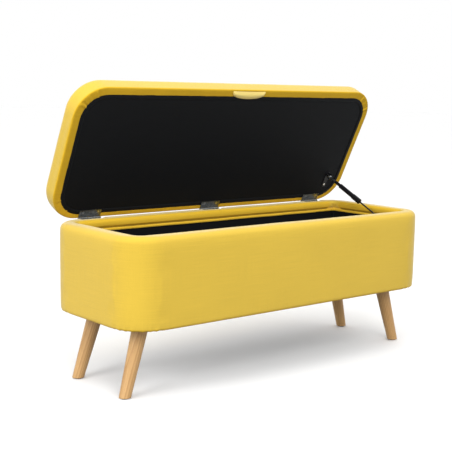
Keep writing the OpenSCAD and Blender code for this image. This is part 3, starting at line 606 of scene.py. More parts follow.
def make_dust_cover():
    """Black cloth under the box, its folded edge stapled over the cover's turned hem."""
    outline = Outline(12, 90, 26)
    edge_in = 27 * MM
    fold = 9 * MM
    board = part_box("dust_cover")[0].z
    level = HEM_Z - 0.25 * MM
    insets = [edge_in, edge_in + fold, TURN_UNDER - 1 * MM, TURN_UNDER + 5 * MM]
    heights = [level, level, level, board]
    rings = box_rings(outline, [(d, z, BOX_R - d) for d, z in zip(insets, heights)])
    cloth = Cloth()
    inner = cloth.sweep(rings, outline.travel(BOX_X, BOX_Y, BOX_R), measure_of(rings))[-1]
    cloth.fill(inner, rings[-1][:, :2], outline.columns(), lambda x, y: board)
    obj = cloth.build("dust_cloth")
    co = points_of(obj.data)
    inset = plan_inset(co, BOX_MID, BOX_X, BOX_Y, BOX_R)
    free = smooth(inset, TURN_UNDER + 5 * MM, TURN_UNDER + 40 * MM)
    co[:, 2] += free * 0.35 * MM * waves(co, 0.09, 3.3)
    pucker = smooth(inset, edge_in + fold, TURN_UNDER) * (1 - free)
    co[:, 2] += pucker * 0.3 * MM * np.sin(outline_travel(co) / STAPLE_PITCH * 2 * math.pi)
    move_points(obj.data, co)
    return finished(obj, subdivisions=1, thickness=0.6 * MM, offset=1.0)


def outline_travel(co):
    """A measure that grows along the bench's sides, for puckers between staples."""
    return co[:, 0] + co[:, 1]


# ---------------------------------------------------------------- lid

def make_seat_pad():
    """The padded lid: foam and cover wrapped round the panel, with a border underneath."""
    outline = Outline(28, 104, 28)
    low, high = LID_LOW[2], LID_HIGH[2]
    panel_in = LID_X - PANEL_HIGH[0] - 0.3 * MM
    under, over = PANEL_LOW[2] - 0.2 * MM, PANEL_HIGH[2] + 0.2 * MM
    section = [(panel_in, over), (panel_in, (under + over) / 2), (panel_in, under),
               (BORDER_IN, under)]
    section += line((BORDER_IN, low), (LID_HEM_R, low), 4)
    section += arc(LID_HEM_R, low + LID_HEM_R, LID_HEM_R, 270, 180, 4)[:-1]
    section += line((0, low + LID_HEM_R), (0, high - LID_TOP_R), 4)
    section += arc(LID_TOP_R, high - LID_TOP_R, LID_TOP_R, 180, 90, 7)
    rings = []
    for d, z in section:
        ring = outline.ring(LID_X - d, LID_Y - d, LID_R - d) + np.array(LID_MID)[:2]
        rings.append(np.column_stack([ring, np.full(len(ring), z)]))
    cloth = Cloth()
    first = cloth.sweep(rings, outline.travel(LID_X, LID_Y, LID_R), measure_of(rings))
    cloth.fill(first[-1], rings[-1][:, :2], outline.columns(), lambda x, y: high)
    cloth.fill(first[0], rings[0][:, :2], outline.columns(), lambda x, y: over, upward=False)
    obj = cloth.build("seat_pad")
    lay_flat_measure(obj)
    co = points_of(obj.data)
    crown = crown_over(co)
    co[:, 2] += crown * LID_CROWN
    move_points(obj.data, co)
    inset = plan_inset(co, LID_MID, LID_X, LID_Y, LID_R)
    at_panel = (co[:, 2] < over + 1 * MM) & (inset > panel_in - 1 * MM)
    swell(obj, (co[:, 2] < low + LID_HEM_R - 1 * MM) | at_panel, 4.0, 2.5 * MM)
    finished(obj, subdivisions=1)
    co = points_of(obj.data)
    inset = plan_inset(co, LID_MID, LID_X, LID_Y, LID_R)
    out = plan_normals(co, LID_MID, LID_X, LID_Y, LID_R)
    top = smooth(co[:, 2], high - 12 * MM, high)
    co[:, 2] += top * (0.5 * MM * waves(co, 0.14, 4.1) + 0.15 * MM * waves(co, 0.04, 1.1))
    side = smooth(co[:, 2], low + 3 * MM, low + 14 * MM) * (1 - top)
    side *= 1 - smooth(inset, 4 * MM, 9 * MM)
    co[:, :2] += out * (side * 0.45 * MM * waves(co, 0.11, 6.6))[:, None]
    back = side * smooth(co[:, 1], LID_MID.y + LID_Y / 2, LID_MID.y + LID_Y)
    co[:, 1] += back * 2.8 * MM
    pleat_border(co, inset, low)
    dent_at_tab(co, low)
    bed_lid_leaves(co)
    move_points(obj.data, co)
    # Painted shade: the border under the lid takes the shaded copy of the yellow, painted a little
    # darker still, with little sheen; the sides and top keep the lit colour.
    set_painted_light(obj, 1.3 * smooth(co[:, 2], low + 1 * MM, low + 5 * MM) - 0.3)
    return open_lid(obj)


def bed_lid_leaves(co):
    """Presses the border in under the hinge leaves screwed over it."""
    for which in HINGE_PLACES:
        low, high = closed_box(f"hinge_{which}_lid_leaf")
        side = np.maximum(low[0] - co[:, 0], co[:, 0] - high[0])
        away = np.maximum(side, low[1] - co[:, 1])
        press = 1 - smooth(away, 1 * MM, 5 * MM)
        bed = LID_LOW[2] + 0.3 * MM
        sunk = (co[:, 2] < bed) & (co[:, 1] > LID_MID.y)
        co[:, 2] = np.where(sunk, co[:, 2] + (bed - co[:, 2]) * press, co[:, 2])


def dent_at_tab(co, low):
    """Draws the border in where the pull tab is caught under the panel."""
    tab_low, tab_high = closed_box("pull_tab")
    x = np.abs(co[:, 0] - (tab_low[0] + tab_high[0]) / 2)
    near = 1 - smooth(x, TAB_W / 2 - 6 * MM, TAB_W / 2 + 6 * MM)
    row = smooth(co[:, 1], tab_low[1] - 5 * MM, tab_low[1])
    row *= 1 - smooth(co[:, 1], tab_low[1] + 24 * MM, tab_low[1] + 32 * MM)
    co[:, 2] += near * row * (co[:, 2] < low + 1.5 * MM) * 1.6 * MM


def crown_over(co):
    """1 over the middle of the lid's top, falling to 0 at its edge."""
    x = np.clip(np.abs(co[:, 0] - LID_MID.x) / (LID_X - LID_TOP_R), 0, 1)
    y = np.clip(np.abs(co[:, 1] - LID_MID.y) / (LID_Y - LID_TOP_R), 0, 1)
    return (1 - x ** 6) * (1 - y ** 2.5) * (co[:, 2] > LID_HIGH[2] - 1 * MM)


def lay_flat_measure(obj):
    """Measures the cloth as one piece laid over the top and wrapped down round the edge."""
    mesh = obj.data
    co = points_of(mesh)
    inset = plan_inset(co, LID_MID, LID_X, LID_Y, LID_R)
    out = plan_normals(co, LID_MID, LID_X, LID_Y, LID_R)
    drop = LID_HIGH[2] - co[:, 2]
    wrap = drop * (inset < LID_TOP_R)
    wrap += np.where(drop > LID_HIGH[2] - LID_LOW[2] - 1 * MM, inset, 0)
    flat = co[:, :2] + out * wrap[:, None]
    corners = np.zeros(len(mesh.loops), np.int32)
    mesh.loops.foreach_get("vertex_index", corners)
    mesh.uv_layers["cloth"].data.foreach_set("uv", flat[corners].astype(np.float32).ravel())


def pleat_border(co, inset, low):
    """Small folds where the cover is gathered round the lid's corners, and soft puckers."""
    p = co[:, :2] - np.array(LID_MID)[:2]
    corner = np.array([LID_X - LID_R, LID_Y - LID_R])
    q = np.abs(p) - corner
    at_corner = (q[:, 0] > -10 * MM) & (q[:, 1] > -10 * MM)
    angle = np.degrees(np.arctan2(q[:, 1], q[:, 0]))
    under = (1 - smooth(co[:, 2], low + 1 * MM, low + 7 * MM)) * smooth(inset, 0, 9 * MM)
    under *= inset < BORDER_IN + 2 * MM
    for centre, rise in ((24, 2.0), (62, 1.8), (44, 0.7)):
        shift = angle - centre - 3 * np.sign(p[:, 0]) * np.sign(p[:, 1])
        ridge = bump_at(shift, 0, 2.6) - 0.75 * bump_at(shift, 5.0, 2.2)
        ridge *= np.where(p[:, 1] > 0, 0.35, 1.0)
        co[:, 2] -= at_corner * under * ridge * rise * MM
    co[:, 2] -= under * (0.25 * MM + 0.35 * MM * waves(co, 0.03, 2.8))


def make_lid_lining():
    """Black cloth on the lid's underside, its hem turned in and stapled over the border."""
    outline = Outline(24, 100, 26)
    overlap = 2.0 * MM
    half_x = (LINING_HIGH[0] - LINING_LOW[0]) / 2 + overlap
    half_y = (LINING_HIGH[1] - LINING_LOW[1]) / 2 + overlap + HINGE_REACH / 2
    middle = LID_MID + Vector((0, HINGE_REACH / 2, 0))
    hem = 12 * MM
    face = LINING_LOW[2]
    edge_z = LID_LOW[2] - 0.6 * MM
    insets = [0, 0.8 * MM, 5 * MM, hem - 2.5 * MM, hem - 1 * MM, hem + 0.5 * MM, hem + 3 * MM,
              hem + 8 * MM, hem + 18 * MM]
    heights = [edge_z + 0.5 * MM, edge_z, edge_z - 0.3 * MM, edge_z - 1.2 * MM, edge_z - 0.3 * MM,
               face + 1.4 * MM, face + 0.3 * MM, face, face]
    rings = []
    for d, z in zip(insets, heights):
        ring = outline.ring(half_x - d, half_y - d, LINING_R - d) + np.array(middle)[:2]
        rings.append(np.column_stack([ring, np.full(outline.count, z)]))
    cloth = Cloth()
    along = outline.travel(half_x, half_y, LINING_R)
    inner = cloth.sweep(rings, along, measure_of(rings))[-1]
    cloth.fill(inner, rings[-1][:, :2], outline.columns(), lambda x, y: face)
    obj = cloth.build("lid_lining_cloth")
    co = points_of(obj.data)
    inset = plan_inset(co, middle, half_x, half_y, LINING_R)
    co[:, 2] += smooth(inset, hem, hem + 12 * MM) * 0.25 * MM * waves(co, 0.11, 5.9)
    co[:, 2] += (1 - smooth(inset, hem - 3 * MM, hem)) * 0.2 * MM * waves(co, 0.02, 8.8)
    co[:, 1] += 0.5 * MM * (inset < 2 * MM) * waves(co, 0.035, 3.7)
    move_points(obj.data, co)
    finished(obj, subdivisions=1, thickness=0.7 * MM, offset=1.0)
    return open_lid(obj)


def tab_outline(share, scale=1.0):
    """Edge of the pull tab at share 0 to 1 from one end of its seam to the other."""
    a = math.pi * share
    x = -math.cos(a)
    y = math.sin(a) ** 0.62
    return x * TAB_W / 2 * scale, y * TAB_DROP * scale


def tab_puff(t):
    """Fullness of the tab from its seam, t = 0, to its sewn edge, t = 1."""
    rise = float(np.clip(t / 0.42, 0, 1)) ** 0.9
    stitched = 1 - 0.25 * float(bump_at(t, 0.8, 0.06))
    return rise * stitched * max(0.0, 1 - t ** 8) if 0 < t < 1 else 0.0


def make_pull_tab():
    """Two layers of the cover fabric sewn into a half moon, caught under the lid's front."""
    low, high = closed_box("pull_tab")
    middle = (low[0] + high[0]) / 2
    seam = low[1] - TAB_SEAM_AHEAD
    top = high[2]
    columns, rows = 44, 9
    points = []
    for sheet in (0, 1):
        for j in range(rows + 1):
            t = j / rows
            for i in range(columns + 1):
                x, y = tab_outline(i / columns)
                near = min(1.0, 6 * min(i, columns - i) / columns)
                puff = tab_puff(t) * near
                inner = 0 < t < 1 and 0 < i < columns
                wobble = 0.5 * noise.noise(Vector((x * 55, y * t * 55, 3))) if inner else 0
                z = top + 0.6 * MM - (4.6 * MM * puff if sheet else 0.8 * MM * puff)
                z += (0.5 if sheet else 0.2) * MM * wobble * puff
                points.append((middle + x, seam + y * t + 0.6 * MM * wobble, z))
    faces = []
    uvs = []
    size = (columns + 1) * (rows + 1)
    for sheet in (0, 1):
        for j in range(rows):
            for i in range(columns):
                a = sheet * size + j * (columns + 1) + i
                corners = [a, a + 1, a + columns + 2, a + columns + 1]
                if sheet:
                    corners.reverse()
                faces.append(tuple(corners))
                uvs += [points[c][:2] for c in corners]
    obj = mesh_object("pull_tab_cloth", points, faces, uvs)
    merge_close(obj, 0.02 * MM)
    finished(obj, subdivisions=1)
    # Painted highlight: the pull tab is mixed toward the pale yellow, with extra sheen.
    set_painted_light(obj, np.full(len(obj.data.vertices), 1.8))
    return open_lid(obj)


def merge_close(obj, distance):
    """Welds points that lie together and turns all faces outwards."""
    work = bmesh.new()
    work.from_mesh(obj.data)
    bmesh.ops.remove_doubles(work, verts=work.verts, dist=distance)
    loose = [f for f in work.faces if f.calc_area() < 1e-12]
    bmesh.ops.delete(work, geom=loose, context="FACES_ONLY")
    bmesh.ops.recalc_face_normals(work, faces=work.faces)
    work.to_mesh(obj.data)
    work.free()


# ---------------------------------------------------------------- repeated small pieces

def repeat_tree(name, shape):
    """Geometry Nodes tree that sets small pieces at even steps along the object's edges."""
    tree = bpy.data.node_groups.new(name, "GeometryNodeTree")
    face = tree.interface
    face.new_socket("Path", in_out="INPUT", socket_type="NodeSocketGeometry")
    for label, value in (("Spacing", 6 * MM), ("Length", 3 * MM), ("Width", 0.6 * MM),
                         ("Height", 0.4 * MM), ("Unevenness", 0.05)):
        face.new_socket(label, in_out="INPUT", socket_type="NodeSocketFloat").default_value = value
    face.new_socket("Finish", in_out="INPUT", socket_type="NodeSocketMaterial")
    face.new_socket("Pieces", in_out="OUTPUT", socket_type="NodeSocketGeometry")
    nodes, links = tree.nodes, tree.links
    entry = nodes.new("NodeGroupInput")
    exit_node = nodes.new("NodeGroupOutput")
    curve = nodes.new("GeometryNodeMeshToCurve")
    even = nodes.new("GeometryNodeResampleCurve")
    even.mode = "LENGTH"
    tangent = nodes.new("GeometryNodeInputTangent")
    align = nodes.new("FunctionNodeAlignRotationToVector")
    align.axis = "X"
    jitter = nodes.new("FunctionNodeRandomValue")
    jitter.data_type = "FLOAT_VECTOR"
    jitter.inputs["Seed"].default_value = 7
    jitter.inputs[0].default_value = (-1, -1, -1)
    jitter.inputs[1].default_value = (1, 1, 1)
    spread = nodes.new("ShaderNodeVectorMath")
    spread.operation = "SCALE"
    spread.inputs[0].default_value = (0.3, 0.3, 1.0)
    turn = nodes.new("FunctionNodeRotateRotation")
    turn.rotation_space = "LOCAL"
    less = nodes.new("ShaderNodeVectorMath")
    less.operation = "MULTIPLY"
    euler = nodes.new("FunctionNodeEulerToRotation")
    place = nodes.new("GeometryNodeInstanceOnPoints")
    realize = nodes.new("GeometryNodeRealizeInstances")
    paint = nodes.new("GeometryNodeSetMaterial")
    size = nodes.new("ShaderNodeCombineXYZ")
    if shape == "thread":
        piece = nodes.new("GeometryNodeMeshUVSphere")
        piece.inputs["Segments"].default_value = 6
        piece.inputs["Rings"].default_value = 5
        piece.inputs["Radius"].default_value = 0.5
    else:
        piece = nodes.new("GeometryNodeMeshCube")
    scale = nodes.new("GeometryNodeTransform")
    links.new(entry.outputs["Path"], curve.inputs["Mesh"])
    links.new(curve.outputs["Curve"], even.inputs["Curve"])
    links.new(entry.outputs["Spacing"], even.inputs["Length"])
    links.new(tangent.outputs["Tangent"], align.inputs["Vector"])
    links.new(entry.outputs["Unevenness"], spread.inputs["Scale"])
    links.new(jitter.outputs[0], less.inputs[0])
    links.new(spread.outputs["Vector"], less.inputs[1])
    links.new(less.outputs["Vector"], euler.inputs[0])
    links.new(align.outputs["Rotation"], turn.inputs["Rotation"])
    links.new(euler.outputs["Rotation"], turn.inputs["Rotate By"])
    for axis, label in zip("XYZ", ("Length", "Width", "Height")):
        links.new(entry.outputs[label], size.inputs[axis])
    links.new(piece.outputs["Mesh"], scale.inputs["Geometry"])
    links.new(size.outputs["Vector"], scale.inputs["Scale"])
    links.new(even.outputs["Curve"], place.inputs["Points"])
    links.new(scale.outputs["Geometry"], place.inputs["Instance"])
    links.new(turn.outputs["Rotation"], place.inputs["Rotation"])
    links.new(place.outputs["Instances"], realize.inputs["Geometry"])
    links.new(realize.outputs["Geometry"], paint.inputs["Geometry"])
    links.new(entry.outputs["Finish"], paint.inputs["Material"])
    links.new(paint.outputs["Geometry"], exit_node.inputs["Pieces"])
    return tree


def row_of(name, tree, path, closed, finish, **sizes):
    """Runs a row of small pieces along a path and leaves them as one plain mesh."""
    count = len(path)
    edges = [(i, (i + 1) % count) for i in range(count if closed else count - 1)]
    mesh = bpy.data.meshes.new(name)
    mesh.from_pydata([tuple(p) for p in path], edges, [])
    obj = bpy.data.objects.new(name, mesh)
    bpy.context.scene.collection.objects.link(obj)
    modifier = obj.modifiers.new("row", "NODES")
    modifier.node_group = tree
    sockets = {s.name: s.identifier for s in tree.interface.items_tree if s.in_out == "INPUT"}
    for label, value in sizes.items():
        modifier[sockets[label]] = value
    modifier[sockets["Finish"]] = finish
    return plain(obj)


# ---------------------------------------------------------------- shared effects

def new_group(name, inputs, outputs):
    """Shader node group with named sockets; returns it with its two end nodes."""
    tree = bpy.data.node_groups.new(name, "ShaderNodeTree")
    for label, kind, value in inputs:
        socket = tree.interface.new_socket(label, in_out="INPUT", socket_type=kind)
        if value is not None:
            socket.default_value = value
    for label, kind in outputs:
        tree.interface.new_socket(label, in_out="OUTPUT", socket_type=kind)
    return tree, tree.nodes.new("NodeGroupInput"), tree.nodes.new("NodeGroupOutput")


def maths(tree, operation, first, second=None, third=None):
    """A Math node with sockets or numbers on its inputs; returns its output."""
    node = tree.nodes.new("ShaderNodeMath")
    node.operation = operation
    for i, value in enumerate((first, second, third)):
        if value is None:
            continue
        if isinstance(value, (int, float)):
            node.inputs[i].default_value = value
        else:
            tree.links.new(value, node.inputs[i])
    return node.outputs[0]


def noise_at(tree, vector, stretch, detail=3.0, roughness=0.5):
    """Noise whose scale differs along each axis; returns its value."""
    mapping = tree.nodes.new("ShaderNodeMapping")
    mapping.inputs["Scale"].default_value = stretch
    texture = tree.nodes.new("ShaderNodeTexNoise")
    texture.inputs["Scale"].default_value = 1.0
    texture.inputs["Detail"].default_value = detail
    texture.inputs["Roughness"].default_value = roughness
    tree.links.new(vector, mapping.inputs["Vector"])
    tree.links.new(mapping.outputs["Vector"], texture.inputs["Vector"])
    return texture.outputs["Fac"]


FLOAT = "NodeSocketFloat"
VECTOR = "NodeSocketVector"


def weave_group():
    """Plain weave: threads over and under, uneven yarn, and a few thick slubs."""
    tree, entry, end = new_group("plain_weave", [
        ("Cloth", VECTOR, None), ("Thread", FLOAT, 1.1 * MM), ("Slubs", FLOAT, 0.5)],
        [("Height", FLOAT), ("Shade", FLOAT), ("Fuzz", FLOAT)])
    split = tree.nodes.new("ShaderNodeSeparateXYZ")
    tree.links.new(entry.outputs["Cloth"], split.inputs["Vector"])
    cloth = entry.outputs["Cloth"]
    wander = maths(tree, "MULTIPLY", noise_at(tree, cloth, (90, 90, 90), 2), 1.2)
    yarns = []
    for axis in ("X", "Y"):
        turns = maths(tree, "DIVIDE", split.outputs[axis], entry.outputs["Thread"])
        yarns.append(maths(tree, "SINE", maths(tree, "MULTIPLY_ADD", turns, math.pi, wander)))
    warp, weft = yarns
    over = maths(tree, "GREATER_THAN", maths(tree, "MULTIPLY", warp, weft), 0.0)
    warp_up = maths(tree, "ABSOLUTE", warp)
    weft_up = maths(tree, "ABSOLUTE", weft)
    pick = tree.nodes.new("ShaderNodeMix")
    tree.links.new(over, pick.inputs[0])
    tree.links.new(weft_up, pick.inputs[2])
    tree.links.new(warp_up, pick.inputs[3])
    long_slubs = noise_at(tree, cloth, (9, 700, 1), 2)
    tall_slubs = noise_at(tree, cloth, (700, 9, 1), 2)
    slub = maths(tree, "MULTIPLY_ADD", long_slubs, 0.65, maths(tree, "MULTIPLY", tall_slubs, 0.35))
    slub = maths(tree, "MULTIPLY", maths(tree, "SUBTRACT", slub, 0.5), entry.outputs["Slubs"])
    height = maths(tree, "MULTIPLY_ADD", pick.outputs[0], 0.5, slub)
    lit_or_raised = maths(tree, "MULTIPLY_ADD", pick.outputs[0], 0.35, 0.32)
    shade = maths(tree, "MULTIPLY_ADD", slub, 1.0, lit_or_raised)
    tree.links.new(height, end.inputs["Height"])
    tree.links.new(shade, end.inputs["Shade"])
    tree.links.new(noise_at(tree, cloth, (900, 900, 900), 2), end.inputs["Fuzz"])
    return tree


def soil_group():
    """Broad uneven tone: handling and dust that gather in soft patches."""
    tree, entry, end = new_group("soft_patches", [
        ("Place", VECTOR, None), ("Amount", FLOAT, 0.5)], [("Patch", FLOAT), ("Dust", FLOAT)])
    broad = noise_at(tree, entry.outputs["Place"], (5, 5, 5), 4, 0.55)
    fine = noise_at(tree, entry.outputs["Place"], (60, 60, 60), 3, 0.6)
    patch = maths(tree, "MULTIPLY", maths(tree, "SUBTRACT", broad, 0.5), entry.outputs["Amount"])
    dust = maths(tree, "MULTIPLY", maths(tree, "POWER", fine, 3.0), entry.outputs["Amount"])
    tree.links.new(patch, end.inputs["Patch"])
    tree.links.new(dust, end.inputs["Dust"])
    return tree


def grain_group():
    """Timber with growth lines and pores that run along Z of the given place."""
    tree, entry, end = new_group("timber_grain", [
        ("Place", VECTOR, None), ("Ring width", FLOAT, 4 * MM), ("Figure", FLOAT, 0.5)],
        [("Shade", FLOAT), ("Pores", FLOAT), ("Height", FLOAT)])
    place = entry.outputs["Place"]
    streak = noise_at(tree, place, (260, 260, 9), 4, 0.6)
    bend = noise_at(tree, place, (14, 14, 2.2), 2)
    split = tree.nodes.new("ShaderNodeSeparateXYZ")
    tree.links.new(place, split.inputs[0])
    off_heart = maths(tree, "ADD", split.outputs["X"], 0.035)
    radius = maths(tree, "SQRT", maths(tree, "ADD", maths(tree, "MULTIPLY", off_heart, off_heart),
                                       maths(tree, "MULTIPLY", split.outputs["Y"], split.outputs["Y"])))
    turns = maths(tree, "DIVIDE", radius, entry.outputs["Ring width"])
    turns = maths(tree, "MULTIPLY_ADD", bend, 3.0, turns)
    ring = maths(tree, "POWER", maths(tree, "FRACT", turns), 2.2)
    ring = maths(tree, "MULTIPLY", ring, entry.outputs["Figure"])
    shade = maths(tree, "MULTIPLY_ADD", streak, 0.6, maths(tree, "MULTIPLY", ring, 0.6))
    pore = maths(tree, "GREATER_THAN", noise_at(tree, place, (1500, 1500, 55), 1), 0.68)
    tree.links.new(shade, end.inputs["Shade"])
    tree.links.new(pore, end.inputs["Pores"])
    tree.links.new(maths(tree, "MULTIPLY_ADD", pore, -0.5, maths(tree, "MULTIPLY", streak, 0.4)),
                   end.inputs["Height"])
    return tree


def scuff_group():
    """Fine scratches and specks on metal, paint and plastic."""
    tree, entry, end = new_group("fine_scuffs", [
        ("Place", VECTOR, None), ("Amount", FLOAT, 0.5)],
        [("Scratch", FLOAT), ("Speck", FLOAT), ("Height", FLOAT)])
    place = entry.outputs["Place"]
    brushed = noise_at(tree, place, (60, 900, 900), 3, 0.6)
    speck = maths(tree, "GREATER_THAN", noise_at(tree, place, (1300, 1300, 1300), 1), 0.7)
    mottle = noise_at(tree, place, (160, 160, 160), 3)
    scratch = maths(tree, "MULTIPLY_ADD", brushed, 0.6, maths(tree, "MULTIPLY", mottle, 0.4))
    scratch = maths(tree, "MULTIPLY", scratch, entry.outputs["Amount"])
    tree.links.new(scratch, end.inputs["Scratch"])
    tree.links.new(maths(tree, "MULTIPLY", speck, entry.outputs["Amount"]), end.inputs["Speck"])
    tree.links.new(scratch, end.inputs["Height"])
    return tree


GROUPS = {"weave": weave_group(), "patches": soil_group(), "grain": grain_group(),
          "scuffs": scuff_group()}


# ---------------------------------------------------------------- finishes

class Finish:
    """One material: a Principled shader with the shared effects placed in front of it."""

    def __init__(self, name, roughness, metallic=0.0, sheen=0.0, coat=0.0, specular=0.5):
        self.material = bpy.data.materials.new(name)
        self.material.use_nodes = True
        self.tree = self.material.node_tree
        self.shader = self.tree.nodes["Principled BSDF"]
        self.shader.inputs["Roughness"].default_value = roughness
        self.shader.inputs["Metallic"].default_value = metallic
        self.shader.inputs["Sheen Weight"].default_value = sheen
        self.shader.inputs["Sheen Roughness"].default_value = 0.4
        self.shader.inputs["Coat Weight"].default_value = coat
        self.shader.inputs["Specular IOR Level"].default_value = specular
        self.place = self.tree.nodes.new("ShaderNodeTexCoord")

    def effect(self, key, socket, vector, **values):
        node = self.tree.nodes.new("ShaderNodeGroup")
        node.node_tree = GROUPS[key]
        self.tree.links.new(vector, node.inputs[socket])
        for label, value in values.items():
            node.inputs[label.replace("_", " ")].default_value = value
        return node

    def ramp(self, value, stops):
        """Colour for a value, from (place, colour) stops."""
        node = self.tree.nodes.new("ShaderNodeValToRGB")
        elements = node.color_ramp.elements
        while len(elements) < len(stops):
            elements.new(0.5)
        for element, (where, colour) in zip(elements, stops):
            element.position = where
            element.color = (*colour, 1)
        self.tree.links.new(value, node.inputs["Fac"])
        return node.outputs["Color"]

    def mixed(self, share, first, second):
        """first to second by share; second is a socket or a colour."""
        node = self.tree.nodes.new("ShaderNodeMix")
        node.data_type = "RGBA"
        self.tree.links.new(share, node.inputs["Factor"])
        self.tree.links.new(first, node.inputs["A"])
        if isinstance(second, tuple):
            node.inputs["B"].default_value = (*second, 1)
        else:
            self.tree.links.new(second, node.inputs["B"])
        return node.outputs["Result"]

    def colour(self, socket):
        self.tree.links.new(socket, self.shader.inputs["Base Color"])

    def roughen(self, value, low, high):
        """Roughness that follows a value between two limits."""
        node = self.tree.nodes.new("ShaderNodeMapRange")
        node.inputs["To Min"].default_value = low
        node.inputs["To Max"].default_value = high
        self.tree.links.new(value, node.inputs["Value"])
        self.tree.links.new(node.outputs["Result"], self.shader.inputs["Roughness"])

    def relief(self, height, distance, strength=1.0):
        node = self.tree.nodes.new("ShaderNodeBump")
        node.inputs["Strength"].default_value = strength
        node.inputs["Distance"].default_value = distance
        self.tree.links.new(height, node.inputs["Height"])
        self.tree.links.new(node.outputs["Normal"], self.shader.inputs["Normal"])

    def maths(self, *values):
        return maths(self.tree, *values)


def tones(colour, spread):
    """Darker, middle and lighter stops about a colour."""
    dark = tuple(c * (1 - spread) for c in colour)
    light = tuple(min(1, c * (1 + spread)) for c in colour)
    return [(0.2, dark), (0.5, colour), (0.8, light)]


def cloth_finish(name, colour, spread, thread, slubs, sheen, relief, specular=0.25,
                 roughness=0.9, tint=(0.8, 0.9, 1.0), flat=None):
    """Woven cloth that follows the piece's own measure. flat is the shaded copy of its colour, painted
    where the painted-light level is low, with a groove shadow and a pale highlight; without it the
    cloth has no painted light."""
    finish = Finish(name, roughness, sheen=sheen, specular=specular)
    finish.shader.inputs["Sheen Tint"].default_value = (*tint, 1)
    measure = finish.tree.nodes.new("ShaderNodeUVMap")
    measure.uv_map = "cloth"
    weave = finish.effect("weave", "Cloth", measure.outputs["UV"], Thread=thread, Slubs=slubs)
    patch = finish.effect("patches", "Place", finish.place.outputs["Object"], Amount=0.25)
    shade = finish.maths("ADD", weave.outputs["Shade"], patch.outputs["Patch"])
    tone = finish.ramp(shade, tones(colour, spread))
    # Painted light from the point level: below 1 toward the shaded copy with less sheen, below 0 toward
    # a dark painted groove shadow, above 1 toward the pale painted highlight.
    if flat:
        painted_light = finish.tree.nodes.new("ShaderNodeAttribute")
        painted_light.attribute_name = "painted_light"
        lit_or_raised = finish.maths("MAXIMUM", painted_light.outputs["Fac"], 0.0)
        groove = finish.maths("MAXIMUM", finish.maths("MULTIPLY", painted_light.outputs["Fac"], -1.0), 0.0)
        tone = finish.mixed(lit_or_raised, finish.ramp(shade, tones(flat, spread)), tone)
        tone = finish.mixed(groove, tone, tuple(c * 0.3 for c in flat))
        painted_highlight = finish.maths("MAXIMUM", finish.maths("SUBTRACT", painted_light.outputs["Fac"], 1.0), 0.0)
        tone = finish.mixed(painted_highlight, tone, HIGHLIGHT_YELLOW)
        lit_sheen = finish.maths("MULTIPLY_ADD", lit_or_raised, sheen * 0.88, sheen * 0.12)
        finish.tree.links.new(lit_sheen, finish.shader.inputs["Sheen Weight"])
    finish.colour(tone)
    finish.roughen(weave.outputs["Fuzz"], roughness - 0.08, min(1, roughness + 0.05))
    finish.relief(weave.outputs["Height"], relief)
    return finish.material


YELLOW = (0.67, 0.455, 0.050)
# Shaded copy of the yellow, painted on shaded faces, and a pale yellow painted as a highlight.
SHADED_YELLOW = (0.74, 0.445, 0.017)
HIGHLIGHT_YELLOW = (0.94, 0.76, 0.25)
BLACK_CLOTH = (0.0034, 0.0038, 0.0046)


def timber_finish(name, dark, light, ring_width, figure, vector_of=None, coat=0.0):
    """Timber; vector_of(finish) gives the place with the grain along its Z."""
    finish = Finish(name, 0.5, coat=coat, specular=0.4)
    place = vector_of(finish) if vector_of else finish.place.outputs["Object"]
    grain = finish.effect("grain", "Place", place, Ring_width=ring_width, Figure=figure)
    patch = finish.effect("patches", "Place", finish.place.outputs["Object"], Amount=0.35)
    shade = finish.maths("ADD", grain.outputs["Shade"], patch.outputs["Patch"])
    middle = tuple((a + b) / 2 for a, b in zip(dark, light))
    colour = finish.ramp(shade, [(0.25, light), (0.5, middle), (0.85, dark)])
    pores = finish.maths("MULTIPLY", grain.outputs["Pores"], 0.35)
    finish.colour(finish.mixed(pores, colour, tuple(c * 0.45 for c in dark)))
    finish.roughen(grain.outputs["Shade"], 0.42, 0.6)
    finish.relief(grain.outputs["Height"], 0.12 * MM)
    return finish.material


def leg_place(node):
    """Mapping that sets a leaning leg upright, so that its grain runs along it."""
    co = points_of(NODES[node].data)
    low, high = co[:, 2].min(), co[:, 2].max()
    band = (high - low) * 0.02
    foot = co[co[:, 2] < low + band].mean(0)
    top = co[co[:, 2] > high - band].mean(0)
    along = Vector(top - foot).normalized()
    turn = along.to_track_quat("Z", "X").to_euler()

    def vector_of(finish):
        mapping = finish.tree.nodes.new("ShaderNodeMapping")
        mapping.vector_type = "TEXTURE"
        mapping.inputs["Location"].default_value = tuple(foot)
        mapping.inputs["Rotation"].default_value = turn
        finish.tree.links.new(finish.place.outputs["Object"], mapping.inputs["Vector"])
        return mapping.outputs["Vector"]

    return vector_of


def laid_down(finish):
    """Place turned so that a board's grain runs along the bench."""
    mapping = finish.tree.nodes.new("ShaderNodeMapping")
    mapping.vector_type = "TEXTURE"
    mapping.inputs["Rotation"].default_value = (0, math.radians(90), 0)
    mapping.inputs["Location"].default_value = (0, 0.3, 0.2)
    finish.tree.links.new(finish.place.outputs["Object"], mapping.inputs["Vector"])
    return mapping.outputs["Vector"]


def hard_finish(name, colour, roughness, metallic, amount, speck, contrast=0.15, relief=0.02,
                specular=0.5):
    """Metal, paint or plastic with fine scuffs."""
    finish = Finish(name, roughness, metallic=metallic, specular=specular)
    scuff = finish.effect("scuffs", "Place", finish.place.outputs["Object"], Amount=amount)
    base = finish.ramp(scuff.outputs["Scratch"], tones(colour, contrast))
    finish.colour(finish.mixed(scuff.outputs["Speck"], base, speck))
    finish.roughen(scuff.outputs["Scratch"], roughness - 0.06, roughness + 0.12)
    finish.relief(scuff.outputs["Height"], relief * MM)
    return finish.material


